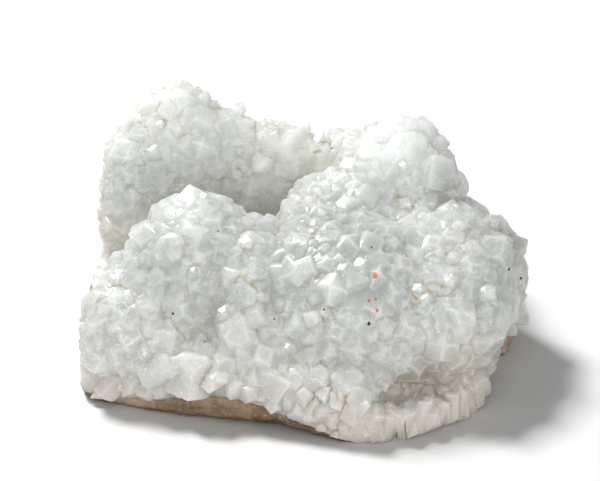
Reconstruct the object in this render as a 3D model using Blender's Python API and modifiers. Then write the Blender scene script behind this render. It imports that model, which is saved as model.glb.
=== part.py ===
"""A rough apophyllite specimen: pale crystals grown together over a rind of host rock.

The origin is on the flat underside, below the middle. X runs to the right, Y away from the viewer
and Z up. A wall stands at the back left, a knob and a wide bulge at the right and a lower mound at
the front left, with a valley between the wall and the mounds. The two separate pieces are the
grown-together crystals and the thin rind of host rock under and behind them.
"""

import math
import random

import bmesh
import bpy
from mathutils import Matrix, Vector
from mathutils.bvhtree import BVHTree
from mathutils.noise import noise

MM = 0.001
NAME = "rough_apophyllite"

# The round lumps of the body, in millimetres: centre, radii and turn about Z in degrees.
LUMPS = {
    "wall_peak": ((-35, 37, 30), (18, 10, 31), 6),
    "wall_end": ((-49, 33, 27), (10, 12, 22), 0),
    "knob": ((27, 20, 38), (14, 13, 19), 0),
    "knob_back": ((26, 34, 24), (19, 14, 25), 0),
    "shoulder": ((12, 12, 27), (17, 14, 18), -20),
    "bulge": ((38, -2, 22), (20, 24, 19), 0),
    "middle": ((12, -8, 20), (26, 26, 22), 0),
    "hang": ((36, -18, 20), (18, 14, 12), 0),
    "left_mound": ((-28, -3, 24), (17, 16, 22), 0),
    "left_flank": ((-44, -10, 13), (20, 19, 15), 0),
    "front_apron": ((-12, -28, 4), (56, 18, 11.5), -15),
    "ledge": ((31, -33, 1.5), (26, 19, 9.0), 30),
    "floor": ((0, 5, 5), (60, 42, 9), 0),
    "right_foot": ((50, -1, 3), (12, 12, 7.5), 0),
}

# The thin upright sheet that the wall runs out into: centre, half sizes and slope of its top.
SHEET = ((-4, 38, 24), (22, 4.5, 24), 13)

# Faces where the body is broken off: middle of the face, way it faces, half width, half height.
# Each is cut by a block of BREAK_DEPTH millimetres that lies outside the face.
BREAKS = {
    "front_left": ((-38, -32.0, 2), (-0.25, -0.93, 0.20), 22, 10),
    "front_middle": ((2, -42.2, 5), (-0.25, -0.93, 0.20), 22, 12),
    "front_right": ((33, -37.4, 1), (0.48, -0.85, 0.20), 24, 12),
    "left_side": ((-57, -2, 20), (-0.997, 0.047, 0.04), 60, 60),
    "back": ((0, 44.5, 30), (0.02, 0.99, 0.05), 80, 60),
    "right_side": ((59, 0, 3), (0.95, -0.30, -0.05), 20, 6),
    "right_end": ((48.6, -20, 1), (0.98, -0.05, 0.15), 11, 7),
    "rim": ((-3, 38, 50.2), (0.22, 0.10, 0.97), 17, 9),
    "underside": ((0, 0, -2), (0, 0.01, -1), 90, 80),
}
BREAK_DEPTH = 30

# The hollow under the hanging crystals at the front right: centre, radii and turn about Z.
HOLLOW = ((32, -31, 8.2), (12, 12, 4.6), 25)

# The body's skin: coarse and fine steps of its mesh, rounds of smoothing after each, height and
# length of its roughness and the share of faces kept.
COARSE_STEP = 2.6
COARSE_ROUNDS = 8
FINE_STEP = 1.8
FINE_ROUNDS = 2
ROUGHNESS = 0.8
ROUGH_LENGTH = 7.0
KEPT_SHARE = 0.03

# The rind of host rock: its depth on the flat, then bumps and dips of it (middle, reach, height).
RIND_DEPTH = 3.0
RIND_BUMPS = (
    ((-12, -38), 18, 2.4),
    ((30, -42), 20, -6.5),
    ((60, -3), 11, 4.5),
    ((-54, -30), 10, -1.0),
)

# Where the rind climbs the left side and the back: inner line, outer line and height. On the left
# it climbs only along a run in Y: start, full height, start of fading, end.
RIND_LEFT = (-53.5, -56.0, 26.0)
RIND_LEFT_RUN = (-20, -13, 6, 13)
RIND_BACK = (40.5, 42.5, 60.0)

# The lines of the rind's upper surface, closer together where it climbs.
RIND_LINES_X = (-75, -58, -56, -53.5, -44, -31, -18, -5, 8, 20, 32, 44, 54, 62, 75)
RIND_LINES_Y = (-60, -46, -36, -26, -20, -13, 0, 15, 30, 40.5, 42.5, 60)

# The gap between crystals and rind, and the height of the space that each is cut out of.
GAP = 0.35
ROOM_HEIGHT = 120
ROOM_WIDTH = 300

# What brings the middle of the whole specimen over the origin.
TO_MIDDLE = (-2.7, 0.25, 0)

# Crystal habits: slope of the tip faces, height of the tip, height of the flat top, all for a
# crystal of width one. A flat top higher than the tip leaves the tip sharp.
HABITS = {
    "pointed": (54, 0.80, 2.0),
    "stubby": (44, 0.58, 2.0),
    "blunt": (46, 0.66, 0.46),
    "block": (54, 0.98, 0.50),
    "table": (58, 1.10, 0.38),
    "broken": (32, 0.50, 0.38),
}

# A crystal's root below its foot and the least share of its width that its other side has.
ROOT = 0.75
LEAST_SIDE = 0.82

# Large crystals in their places, in millimetres as seen from VIEWPOINT on the upright plane through
# SEEN_MIDDLE: across, up, width, habit. A line of sight is followed from SIGHT_START millimetres in
# front of VIEWPOINT, one millimetre a step.
VIEWPOINT = (0, -389.7, 258.5)
SEEN_MIDDLE = (0, 0, 33.5)
SIGHT_START = 360
SIGHT_STEPS = 140
LARGE = (
    (-32.4, 42.3, 5.0, "pointed"),
    (-36.4, 40.6, 7.0, "blunt"),
    (-40.5, 37.9, 7.0, "blunt"),
    (-25.7, 38.5, 5.5, "stubby"),
    (-23.0, 36.6, 5.0, "stubby"),
    (-43.5, 36.0, 6.5, "stubby"),
    (-46.8, 33.0, 7.0, "blunt"),
    (16.8, 28.6, 5.0, "stubby"),
    (20.8, 31.0, 5.5, "stubby"),
    (25.1, 33.0, 7.5, "blunt"),
    (30.0, 32.2, 6.0, "stubby"),
    (34.3, 31.8, 7.0, "table"),
    (38.6, 27.0, 5.5, "block"),
    (41.6, 22.5, 4.5, "stubby"),
    (43.4, 16.0, 9.0, "blunt"),
    (47.6, 9.0, 9.5, "table"),
    (53.8, 8.4, 4.5, "pointed"),
    (56.2, 6.5, 6.0, "block"),
    (59.0, 2.4, 6.5, "stubby"),
    (61.0, -0.8, 7.0, "pointed"),
    (59.2, -6.0, 6.0, "blunt"),
    (60.2, -11.5, 7.0, "blunt"),
    (61.8, -15.4, 4.5, "pointed"),
    (60.3, -19.8, 6.5, "blunt"),
    (52.4, -3.1, 12.0, "stubby"),
    (45.6, -8.5, 9.5, "blunt"),
    (36.2, -1.8, 8.0, "blunt"),
    (49.7, -19.3, 7.5, "stubby"),
    (43.0, 4.0, 7.5, "block"),
    (51.8, -26.3, 7.0, "table"),
    (45.4, -31.0, 8.0, "blunt"),
    (38.6, -27.5, 9.5, "stubby"),
    (31.0, -33.0, 9.5, "blunt"),
    (23.5, -31.5, 8.0, "blunt"),
    (17.0, -37.5, 7.0, "stubby"),
    (15.0, -32.0, 8.0, "stubby"),
    (15.0, 13.8, 7.5, "stubby"),
    (3.0, 13.2, 6.0, "block"),
    (-29.5, 13.4, 9.0, "pointed"),
    (-38.6, 5.2, 7.0, "table"),
    (-48.0, 0.2, 6.0, "stubby"),
    (-51.0, -10.5, 6.0, "blunt"),
    (-37.0, -9.5, 9.0, "blunt"),
    (-32.0, -20.0, 9.0, "blunt"),
    (-21.0, -21.0, 8.5, "stubby"),
    (-10.0, -8.0, 9.5, "blunt"),
    (1.5, -9.0, 8.5, "block"),
    (-4.0, -25.0, 8.5, "stubby"),
    (10.0, -24.0, 8.0, "blunt"),
    (27.0, -8.0, 9.5, "blunt"),
    (13.0, -2.0, 9.0, "stubby"),
    (-36.5, -39.0, 7.1, "broken"),
    (-48.6, -37.1, 7.1, "broken"),
    (-23.0, -35.5, 8.1, "broken"),
    (-14.5, -34.5, 7.1, "broken"),
    (-6.8, -39.0, 7.6, "broken"),
    (1.4, -39.0, 8.1, "broken"),
    (8.1, -44.4, 7.1, "broken"),
    (0.0, -30.9, 7.1, "broken"),
    (13.5, -47.1, 7.6, "broken"),
    (20.3, -51.7, 7.1, "broken"),
    (26.5, -51.0, 7.0, "broken"),
    (34.0, -48.0, 6.6, "broken"),
    (40.5, -44.0, 7.0, "broken"),
    (46.0, -42.0, 6.2, "broken"),
)

# How far a large crystal's foot stands out of the body, in widths: the least, the most, and that of
# a broken one, which sits deep.
LEAST_LIFT = -0.10
MOST_LIFT = 0.30
BROKEN_LIFT = -0.26

# The crystals that fill the rest: how many places are tried, widths in millimetres, the least and
# the most that a foot stands out, in widths, their habits, of which the common ones stand twice,
# and the distance between them in widths.
FILL_TRIES = 9000
FILL_WIDTHS = (7.0, 9.5)
FILL_LIFTS = (-0.22, 0.0)
FILL_HABITS = ("pointed", "stubby", "blunt", "blunt", "block", "stubby")
SPACING = 0.92

# How far crystals lean from upright, as a share of their length, and the seed of all chance.
LEAN = 0.18
SEED = 11

# Where no fill crystal grows: a strip above the rind, wider from BARE_FROM on to the right, the
# hollow's rim in radii, and a strip beside a broken face in crystal widths: near it and beyond it.
BARE_STRIP = 4.5
BARE_STRIP_RIGHT = 8.0
BARE_FROM = 44
HOLLOW_RIM = 1.4
BREAK_NEAR = 0.8
BREAK_BEYOND = 0.3


def clear_scene():
    """Starts from an empty file."""
    for obj in list(bpy.data.objects):
        bpy.data.objects.remove(obj)


def apply_placement(obj):
    """Moves an object's place, turn and size into its mesh."""
    bpy.ops.object.select_all(action="DESELECT")
    obj.select_set(True)
    bpy.context.view_layer.objects.active = obj
    bpy.ops.object.transform_apply(location=True, rotation=True, scale=True)
    return obj


def lump(name, centre, radii, turn):
    """One ellipsoid, as an object."""
    bpy.ops.mesh.primitive_uv_sphere_add(segments=32, ring_count=16, radius=1.0)
    ball = bpy.context.object
    ball.name = name
    ball.location = Vector(centre) * MM
    ball.scale = Vector(radii) * MM
    ball.rotation_euler.z = math.radians(turn)
    return apply_placement(ball)


def sheet_lump():
    """The upright sheet of the wall."""
    centre, half, slope = SHEET
    bpy.ops.mesh.primitive_cube_add(size=2.0)
    block = bpy.context.object
    block.location = Vector(centre) * MM
    block.scale = Vector(half) * MM
    block.rotation_euler.y = math.radians(slope)
    return apply_placement(block)


def break_block(name, middle, facing, half_width, half_height):
    """The block lying outside a broken face."""
    bpy.ops.mesh.primitive_cube_add(size=2.0)
    block = bpy.context.object
    block.name = name
    facing = Vector(facing).normalized()
    turn = facing.to_track_quat("Y", "Z")
    reach = Vector((half_width, BREAK_DEPTH / 2, half_height)) * MM
    centre = Vector(middle) * MM + facing * BREAK_DEPTH / 2 * MM
    block.matrix_world = Matrix.LocRotScale(centre, turn, reach)
    return apply_placement(block)


def run_modifier(body, kind, **values):
    """Applies one modifier with the given values."""
    change = body.modifiers.new(kind.lower(), kind)
    for key, value in values.items():
        setattr(change, key, value)
    bpy.context.view_layer.objects.active = body
    bpy.ops.object.modifier_apply(modifier=change.name)


def take_away(body, cutter):
    """Cuts one form out of the body."""
    run_modifier(body, "BOOLEAN", operation="DIFFERENCE", solver="EXACT", object=cutter)
    bpy.data.objects.remove(cutter)


def body_form():
    """The body under the crystals: lumps run together, broken off and roughened."""
    parts = [lump(name, *LUMPS[name]) for name in LUMPS]
    parts.append(sheet_lump())
    bpy.ops.object.select_all(action="DESELECT")
    for part in parts:
        part.select_set(True)
    bpy.context.view_layer.objects.active = parts[0]
    bpy.ops.object.join()
    body = bpy.context.object
    run_modifier(body, "REMESH", mode="VOXEL", voxel_size=COARSE_STEP * MM)
    run_modifier(body, "SMOOTH", factor=0.5, iterations=COARSE_ROUNDS)
    for name in BREAKS:
        take_away(body, break_block(name, *BREAKS[name]))
    take_away(body, lump("hollow", *HOLLOW))
    run_modifier(body, "REMESH", mode="VOXEL", voxel_size=FINE_STEP * MM)
    run_modifier(body, "SMOOTH", factor=0.5, iterations=FINE_ROUNDS)
    outward = [vert.normal.copy() for vert in body.data.vertices]
    for vert, way in zip(body.data.vertices, outward):
        vert.co += way * ROUGHNESS * MM * noise(vert.co / (ROUGH_LENGTH * MM))
    run_modifier(body, "DECIMATE", ratio=KEPT_SHARE)
    return body


def bump(x, y, middle, reach):
    """A round bump of height one over a place."""
    away = math.hypot(x - middle[0], y - middle[1]) / reach
    return math.exp(-away * away)


def climb(value, start, end):
    """Nought before start, one after end and a smooth climb between."""
    share = min(max((value - start) / (end - start), 0.0), 1.0)
    return share * share * (3.0 - 2.0 * share)


def rind_height(x, y):
    """Height of the rind's upper surface, in millimetres."""
    height = RIND_DEPTH
    for middle, reach, rise in RIND_BUMPS:
        height += rise * bump(x, y, middle, reach)
    inner, outer, rise = RIND_LEFT
    start, full, fading, end = RIND_LEFT_RUN
    height += rise * climb(x, inner, outer) * climb(y, start, full) * climb(y, end, fading)
    inner, outer, rise = RIND_BACK
    height += rise * climb(y, inner, outer)
    return height


def above_rind(name, gap):
    """The space above the rind's surface, gap millimetres clear of it, as a closed form."""
    form = bmesh.new()
    wide, deep = len(RIND_LINES_X) - 1, len(RIND_LINES_Y) - 1
    bmesh.ops.create_grid(form, x_segments=wide, y_segments=deep, size=0.5)
    for vert in form.verts:
        x = RIND_LINES_X[round((vert.co.x + 0.5) * wide)]
        y = RIND_LINES_Y[round((vert.co.y + 0.5) * deep)]
        vert.co = Vector((x, y, rind_height(x, y))) * MM
    bmesh.ops.triangulate(form, faces=form.faces[:], quad_method="FIXED")
    form.normal_update()
    for vert in form.verts:
        vert.co += vert.normal * gap * MM
    roof = bmesh.ops.extrude_face_region(form, geom=form.faces[:])
    for vert in roof["geom"]:
        if isinstance(vert, bmesh.types.BMVert):
            vert.co.z = ROOM_HEIGHT * MM
    bmesh.ops.recalc_face_normals(form, faces=form.faces[:])
    mesh = bpy.data.meshes.new(name)
    form.to_mesh(mesh)
    form.free()
    space = bpy.data.objects.new(name, mesh)
    bpy.context.scene.collection.objects.link(space)
    return space


def crystal_template(habit):
    """One crystal of width one: a square prism cut to a tip by four slanting faces."""
    slope, tip, flat = HABITS[habit]
    form = bmesh.new()
    tall = tip + ROOT
    place = Matrix.Translation((0, 0, tall / 2 - ROOT)) @ Matrix.Diagonal((1, 1, tall, 1))
    bmesh.ops.create_cube(form, size=1.0, matrix=place)
    slant = math.radians(slope)
    planes = []
    for corner in range(4):
        way = math.radians(45 + 90 * corner)
        facing = (math.cos(way) * math.sin(slant), math.sin(way) * math.sin(slant), math.cos(slant))
        planes.append(((0, 0, tip), facing))
    planes.append(((0, 0, flat), (0, 0, 1)))
    for point, facing in planes:
        parts = form.verts[:] + form.edges[:] + form.faces[:]
        cut = bmesh.ops.bisect_plane(form, geom=parts, dist=1e-6, plane_co=point, plane_no=facing,
                                     clear_outer=True)
        rim = [e for e in cut["geom_cut"] if isinstance(e, bmesh.types.BMEdge)]
        bmesh.ops.holes_fill(form, edges=rim, sides=0)
    mesh = bpy.data.meshes.new(habit)
    form.to_mesh(mesh)
    form.free()
    return mesh


def sight(across, up):
    """The line of sight through a place on the upright plane."""
    eye = Vector(VIEWPOINT) * MM
    ahead = (Vector(SEEN_MIDDLE) * MM - eye).normalized()
    right = ahead.cross(Vector((0, 0, 1))).normalized()
    above = right.cross(ahead)
    target = Vector(SEEN_MIDDLE) * MM + right * across * MM + above * up * MM
    return eye, (target - eye).normalized()


def nearest_to_sight(tree, eye, way):
    """The place on the body that a line of sight meets or passes nearest, and how far it misses."""
    hit, normal, _, _ = tree.ray_cast(eye, way)
    if hit is not None:
        return hit, normal, 0.0
    best = None
    for step in range(SIGHT_STEPS):
        at = eye + way * (SIGHT_START + step) * MM
        near, normal, _, away = tree.find_nearest(at)
        if best is None or away < best[2]:
            best = (near, normal, away)
    return best


def is_broken(place, normal, width):
    """True on the broken faces, the hollow and the rind, where no crystal grows."""
    point = place / MM
    strip = BARE_STRIP_RIGHT if point.x > BARE_FROM else BARE_STRIP
    if point.z < max(rind_height(point.x, point.y), 0.0) + strip:
        return True
    centre, radii, _ = HOLLOW
    off = point - Vector(centre)
    if math.hypot(off.x / radii[0], off.y / radii[1], off.z / radii[2]) < HOLLOW_RIM:
        return True
    for middle, facing, half_width, half_height in BREAKS.values():
        facing = Vector(facing).normalized()
        off = point - Vector(middle)
        beside = facing.cross(Vector((0, 0, 1))).normalized()
        above = beside.cross(facing)
        near = abs(off.dot(facing)) < BREAK_NEAR * width
        level = abs(off.dot(above)) < half_height + BREAK_BEYOND * width
        if near and level and abs(off.dot(beside)) < half_width:
            return True
    return False


def random_place(rng, corners, areas, total):
    """A place spread evenly over the body's faces."""
    mark = rng.random() * total
    low, high = 0, len(areas) - 1
    while low < high:
        middle = (low + high) // 2
        if areas[middle] < mark:
            low = middle + 1
        else:
            high = middle
    first, second, third, normal = corners[low]
    one, two = rng.random(), rng.random()
    if one + two > 1:
        one, two = 1 - one, 1 - two
    return first + (second - first) * one + (third - first) * two, normal


def crystal_sites(body):
    """Where each crystal stands: foot, way it points, width, habit and how far it sticks out."""
    rng = random.Random(SEED)
    body.data.calc_loop_triangles()
    verts = [v.co.copy() for v in body.data.vertices]
    triangles = [tuple(t.vertices) for t in body.data.loop_triangles]
    tree = BVHTree.FromPolygons(verts, triangles)
    sites = []
    for across, up, width, habit in LARGE:
        foot, normal, miss = nearest_to_sight(tree, *sight(across, up))
        lift = min(max(miss / MM - MOST_LIFT * width, LEAST_LIFT * width), MOST_LIFT * width)
        if habit == "broken":
            lift = BROKEN_LIFT * width
        sites.append((foot, normal, width, habit, lift))
    corners, areas, total = [], [], 0.0
    for triangle in triangles:
        first, second, third = (verts[i] for i in triangle)
        across = (second - first).cross(third - first)
        total += across.length / 2
        areas.append(total)
        corners.append((first, second, third, across.normalized()))
    for _ in range(FILL_TRIES):
        foot, normal = random_place(rng, corners, areas, total)
        width = rng.uniform(*FILL_WIDTHS)
        habit = rng.choice(FILL_HABITS)
        lift = rng.uniform(*FILL_LIFTS) * width
        if is_broken(foot, normal, width):
            continue
        clear = True
        for other, _, wide, _, _ in sites:
            if (foot - other).length < SPACING * (width + wide) / 2 * MM:
                clear = False
                break
        if clear:
            sites.append((foot, normal, width, habit, lift))
    return sites, rng


def all_crystals(sites, rng):
    """The crystals as one object, each a closed form."""
    templates = {habit: crystal_template(habit) for habit in HABITS}
    form = bmesh.new()
    for foot, normal, width, habit, lift in sites:
        sway = Vector((rng.gauss(0, LEAN), rng.gauss(0, LEAN), rng.gauss(0, LEAN)))
        way = (normal + sway).normalized()
        turn = way.to_track_quat("Z", "Y").to_matrix().to_4x4()
        spin = Matrix.Rotation(rng.uniform(0, math.pi / 2), 4, "Z")
        size = Matrix.Diagonal((width, width * rng.uniform(LEAST_SIDE, 1.0), width, 1)) * MM
        size[3][3] = 1.0
        place = Matrix.Translation(foot + way * lift * MM) @ turn @ spin @ size
        start = len(form.verts)
        form.from_mesh(templates[habit])
        form.verts.ensure_lookup_table()
        for vert in form.verts[start:]:
            vert.co = place @ vert.co
    mesh = bpy.data.meshes.new("crystals")
    form.to_mesh(mesh)
    form.free()
    crystals = bpy.data.objects.new("crystals", mesh)
    bpy.context.scene.collection.objects.link(crystals)
    for template in templates.values():
        bpy.data.meshes.remove(template)
    return crystals


def add_boolean(obj, operation, other, use_self=False):
    """A live Boolean on one object."""
    change = obj.modifiers.new(operation.lower(), "BOOLEAN")
    change.operation = operation
    change.solver = "EXACT"
    change.object = other
    change.use_self = use_self


def material(name, colour, roughness):
    """A plain material."""
    finish = bpy.data.materials.new(name)
    finish.use_nodes = True
    shader = finish.node_tree.nodes["Principled BSDF"]
    shader.inputs["Base Color"].default_value = (*colour, 1.0)
    shader.inputs["Roughness"].default_value = roughness
    shader.inputs["Metallic"].default_value = 0.0
    return finish


def space_above_floor():
    """The space above the ground, as a block."""
    size = Vector((ROOM_WIDTH, ROOM_WIDTH, ROOM_HEIGHT)) * MM
    bpy.ops.mesh.primitive_cube_add(size=1.0, location=(0, 0, size.z / 2), scale=size)
    space = bpy.context.object
    space.name = "space_above_floor"
    return apply_placement(space)


def gather(name, objects):
    """Puts objects in a collection of their own."""
    home = bpy.data.collections.new(name)
    bpy.context.scene.collection.children.link(home)
    for obj in objects:
        for old in list(obj.users_collection):
            old.objects.unlink(obj)
        home.objects.link(obj)


def main():
    """Builds the specimen."""
    clear_scene()
    druse = body_form()
    druse.name = "crystal_druse"
    rind = druse.copy()
    rind.data = druse.data.copy()
    rind.name = "matrix_rind"
    bpy.context.scene.collection.objects.link(rind)
    crystals = all_crystals(*crystal_sites(druse))
    upper = above_rind("space_above_gap", GAP)
    lower = above_rind("space_above_rind", 0.0)
    floor = space_above_floor()
    add_boolean(druse, "UNION", crystals, True)
    add_boolean(druse, "INTERSECT", upper)
    add_boolean(druse, "INTERSECT", floor)
    add_boolean(rind, "DIFFERENCE", lower)
    add_boolean(rind, "INTERSECT", floor)
    for obj in (druse, rind, crystals, upper, lower):
        obj.data.transform(Matrix.Translation(Vector(TO_MIDDLE) * MM))
    druse.data.materials.append(material("apophyllite", (0.80, 0.82, 0.78), 0.25))
    rind.data.materials.append(material("host_rock", (0.42, 0.34, 0.25), 0.8))
    gather(NAME, (druse, rind))
    helpers = (crystals, upper, lower, floor)
    gather("cutters", helpers)
    for helper in helpers:
        helper.display_type = "WIRE"
        helper.hide_render = True


main()
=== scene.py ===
"""A rough apophyllite specimen, dressed for a photograph on a pale studio floor.

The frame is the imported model: the grown-together crystals and the rind of host rock. This script
models both again in fine detail on the same body, gives them their finishes and sets up the studio.
Sizes are in millimetres and turn into metres where meshes are made. The body is modelled around a
place of its own and moved to the frame's at the end; the finishes' places are in the frame.
"""

import logging
import math
import random
from dataclasses import dataclass, field
from enum import Enum
from typing import Any, Callable, Iterable, Sequence

import bmesh
import bpy
import numpy as np
from mathutils import Euler, Matrix, Vector
from mathutils.bvhtree import BVHTree
from mathutils.kdtree import KDTree
from mathutils.noise import noise


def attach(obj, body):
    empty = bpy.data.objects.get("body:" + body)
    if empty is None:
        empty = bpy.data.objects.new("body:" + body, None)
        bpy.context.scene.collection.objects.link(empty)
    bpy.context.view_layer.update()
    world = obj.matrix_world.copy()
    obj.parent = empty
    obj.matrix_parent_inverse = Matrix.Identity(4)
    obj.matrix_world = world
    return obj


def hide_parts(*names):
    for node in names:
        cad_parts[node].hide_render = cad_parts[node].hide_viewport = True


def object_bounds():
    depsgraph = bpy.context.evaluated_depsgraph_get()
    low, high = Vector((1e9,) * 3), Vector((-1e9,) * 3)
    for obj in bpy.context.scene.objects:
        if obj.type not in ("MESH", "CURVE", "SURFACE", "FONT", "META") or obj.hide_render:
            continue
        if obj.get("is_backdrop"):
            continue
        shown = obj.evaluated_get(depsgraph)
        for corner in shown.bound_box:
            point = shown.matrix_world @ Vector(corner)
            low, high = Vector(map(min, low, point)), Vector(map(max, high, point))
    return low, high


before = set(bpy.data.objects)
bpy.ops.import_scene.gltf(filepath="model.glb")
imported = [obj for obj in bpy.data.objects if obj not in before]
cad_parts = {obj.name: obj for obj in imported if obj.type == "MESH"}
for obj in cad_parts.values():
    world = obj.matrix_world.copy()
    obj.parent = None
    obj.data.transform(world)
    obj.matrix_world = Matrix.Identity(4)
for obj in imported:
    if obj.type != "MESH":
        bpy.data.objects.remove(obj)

LOG = logging.getLogger("rough_apophyllite")
MM = 0.001
MIDDLE = (-2.7, 0.25, 0.0)
BODY = "root"
DRUSE_NODE = "crystal_druse"
RIND_NODE = "matrix_rind"
TRAIT = "trait"
BALL_SIDES = 32
WELD = 0.002
SOFTENING = 0.5
HIGH_HABITS = ("pointed", "stubby", "blunt", "blunt", "block", "stubby")
LOW_HABITS = ("blunt", "table", "low", "low", "low", "block")

Triple = tuple[float, float, float]
Pair = tuple[float, float]
Lump = tuple[Triple, Triple, float]
Object = bpy.types.Object
Mesh = bpy.types.Mesh
Socket = bpy.types.NodeSocket


class Slot(Enum):
    """The record's material slots."""

    CRYSTAL = "crystal"
    MATRIX = "matrix"


class Habit(Enum):
    """Crystal habits: slope of the tip faces, height of the tip and of the flat top, for width one."""

    POINTED = (46, 0.80, 2.0)
    STUBBY = (35, 0.58, 2.0)
    BLUNT = (36, 0.62, 0.48)
    BLOCK = (44, 0.80, 0.50)
    TABLE = (40, 0.70, 0.44)
    LOW = (27, 0.48, 0.42)
    BROKEN = (32, 0.50, 0.38)


class Solver(Enum):
    """The two ways of joining closed meshes."""

    EXACT = "EXACT"
    FAST = "MANIFOLD"


class Mark(Enum):
    """Tones above one, which mark crystals that catch the light and mineral grains."""

    GLINT = 2.0
    RUST = 3.0
    DARK = 4.0


def deselect_all() -> None:
    """Leaves nothing selected."""
    bpy.ops.object.select_all(action="DESELECT")


def activate(obj: Object) -> None:
    """Makes one object the only selected and active one.

    Args:
        obj: The object to work on next.
    """
    deselect_all()
    obj.select_set(True)
    bpy.context.view_layer.objects.active = obj


def new_block(size: float) -> Object:
    """Adds a cube around the origin as the only selected object.

    Args:
        size: Its size.

    Returns:
        The cube.
    """
    deselect_all()
    bpy.ops.mesh.primitive_cube_add(size=size)
    return bpy.context.object


def apply_placement(obj: Object) -> Object:
    """Moves an object's place, turn and size into its mesh.

    Args:
        obj: The object as it was placed.

    Returns:
        The same object, at the origin, unturned and unscaled.
    """
    activate(obj)
    bpy.ops.object.transform_apply(location=True, rotation=True, scale=True)
    return obj


def run_modifier(obj: Object, kind: str, **values: Any) -> None:
    """Adds one modifier with the given values and applies it.

    Args:
        obj: The object that is changed.
        kind: The modifier's type.
        **values: Its settings.
    """
    activate(obj)
    change = obj.modifiers.new(kind.lower(), kind)
    for key, value in values.items():
        setattr(change, key, value)
    bpy.ops.object.modifier_apply(modifier=change.name)


def soften(obj: Object, rounds: int) -> None:
    """Smooths a form's skin in a number of rounds."""
    run_modifier(obj, "SMOOTH", factor=SOFTENING, iterations=rounds)


def reskin(obj: Object, step: float, rounds: int) -> None:
    """Gives a form a new, even skin.

    Args:
        obj: The closed form.
        step: The size of its new faces, in millimetres.
        rounds: How often the new skin is smoothed.
    """
    run_modifier(obj, "REMESH", mode="VOXEL", voxel_size=step * MM)
    soften(obj, rounds)


def combine(obj: Object, operation: str, other: Object, solver: Solver = Solver.FAST) -> None:
    """Joins, cuts or intersects an object with another, which is used up.

    Args:
        obj: The object that is changed.
        operation: UNION, DIFFERENCE or INTERSECT.
        other: The other closed form.
        solver: The way of joining.
    """
    run_modifier(obj, "BOOLEAN", operation=operation, solver=solver.value, object=other)
    mesh = other.data
    bpy.data.objects.remove(other)
    bpy.data.meshes.remove(mesh)


def new_object(name: str, data: Any) -> Object:
    """Puts a mesh, lamp or camera into the scene.

    Args:
        name: The object's name.
        data: Its mesh, light or camera.

    Returns:
        The object.
    """
    obj = bpy.data.objects.new(name, data)
    bpy.context.scene.collection.objects.link(obj)
    return obj


def copy_of(obj: Object, name: str) -> Object:
    """A copy of an object with a mesh of its own."""
    return new_object(name, obj.data.copy())


def read_rows(items: Any, key: str, width: int, kind: type = np.float32) -> np.ndarray:
    """Reads one property of all of a mesh's corners, faces or the like.

    Args:
        items: The mesh's list of them.
        key: The property's name.
        width: How many numbers it has.
        kind: The kind of number.

    Returns:
        One row of numbers for each.
    """
    rows = np.zeros(len(items) * width, kind)
    items.foreach_get(key, rows)
    return rows.reshape(-1, width)


def mesh_points(mesh: Mesh) -> np.ndarray:
    """The mesh's corners as rows of coordinates in metres."""
    return read_rows(mesh.vertices, "co", 3)


def set_mesh_points(mesh: Mesh, points: np.ndarray) -> None:
    """Gives a mesh's corners new places."""
    mesh.vertices.foreach_set("co", np.asarray(points, np.float32).ravel())
    mesh.update()


def roughen(obj: Object, height: float, length: float) -> None:
    """Moves a form's skin in and out by soft noise.

    Args:
        obj: The form.
        height: How far it moves at most, in millimetres.
        length: The size of the noise's waves, in millimetres.
    """
    points = mesh_points(obj.data)
    outward = read_rows(obj.data.vertex_normals, "vector", 3)
    waves = np.array([noise(Vector(point) / (length * MM)) for point in points.tolist()])
    set_mesh_points(obj.data, points + outward * waves[:, None] * height * MM)


def add_traits(mesh: Mesh, traits: np.ndarray) -> None:
    """Stores on each corner what the finish reads: rows of tone, brokenness, number and rim."""
    colour = mesh.attributes.new(TRAIT, "FLOAT_COLOR", "CORNER")
    colour.data.foreach_set("color", np.asarray(traits, np.float32).ravel())


def keep_in_box(obj: Object, low: Vector, high: Vector) -> None:
    """Presses what reaches out of a box back to its sides."""
    points = mesh_points(obj.data)
    set_mesh_points(obj.data, np.clip(points, np.array(low), np.array(high)))


def smooth_within_grains(obj: Object, angle: float, weight: int = 60) -> None:
    """Shades a form smooth, with sharp edges between crystals and at strong bends.

    Args:
        obj: The form, with traits on its corners.
        angle: The bend, in degrees, from which an edge is sharp.
        weight: How much larger faces count for more.
    """
    form = bmesh.new()
    form.from_mesh(obj.data)
    layer = form.loops.layers.float_color[TRAIT]
    limit = math.radians(angle)
    for face in form.faces:
        face.smooth = True
    for edge in form.edges:
        if len(edge.link_faces) == 2:
            first, second = (face.loops[0][layer][2] for face in edge.link_faces)
            edge.smooth = abs(first - second) < 0.5 and edge.calc_face_angle() < limit
    form.to_mesh(obj.data)
    form.free()
    run_modifier(obj, "WEIGHTED_NORMAL", mode="FACE_AREA", weight=weight, keep_sharp=True)


def climb(value: float, start: float, end: float) -> float:
    """Nought before start, one after end and a smooth climb between."""
    share = min(max((value - start) / (end - start), 0.0), 1.0)
    return share * share * (3.0 - 2.0 * share)


@dataclass(frozen=True)
class Break:
    """A face where the body is broken off, and how far in millimetres large crystals keep from it."""

    middle: Triple
    facing: Triple
    half_width: float
    half_height: float
    margin: float = 0.0

    def axes(self) -> tuple[Vector, Vector, Vector]:
        """The face's outward, sideways and upward directions."""
        outward = Vector(self.facing).normalized()
        beside = outward.cross(Vector((0, 0, 1))).normalized()
        return outward, beside, beside.cross(outward)


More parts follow.
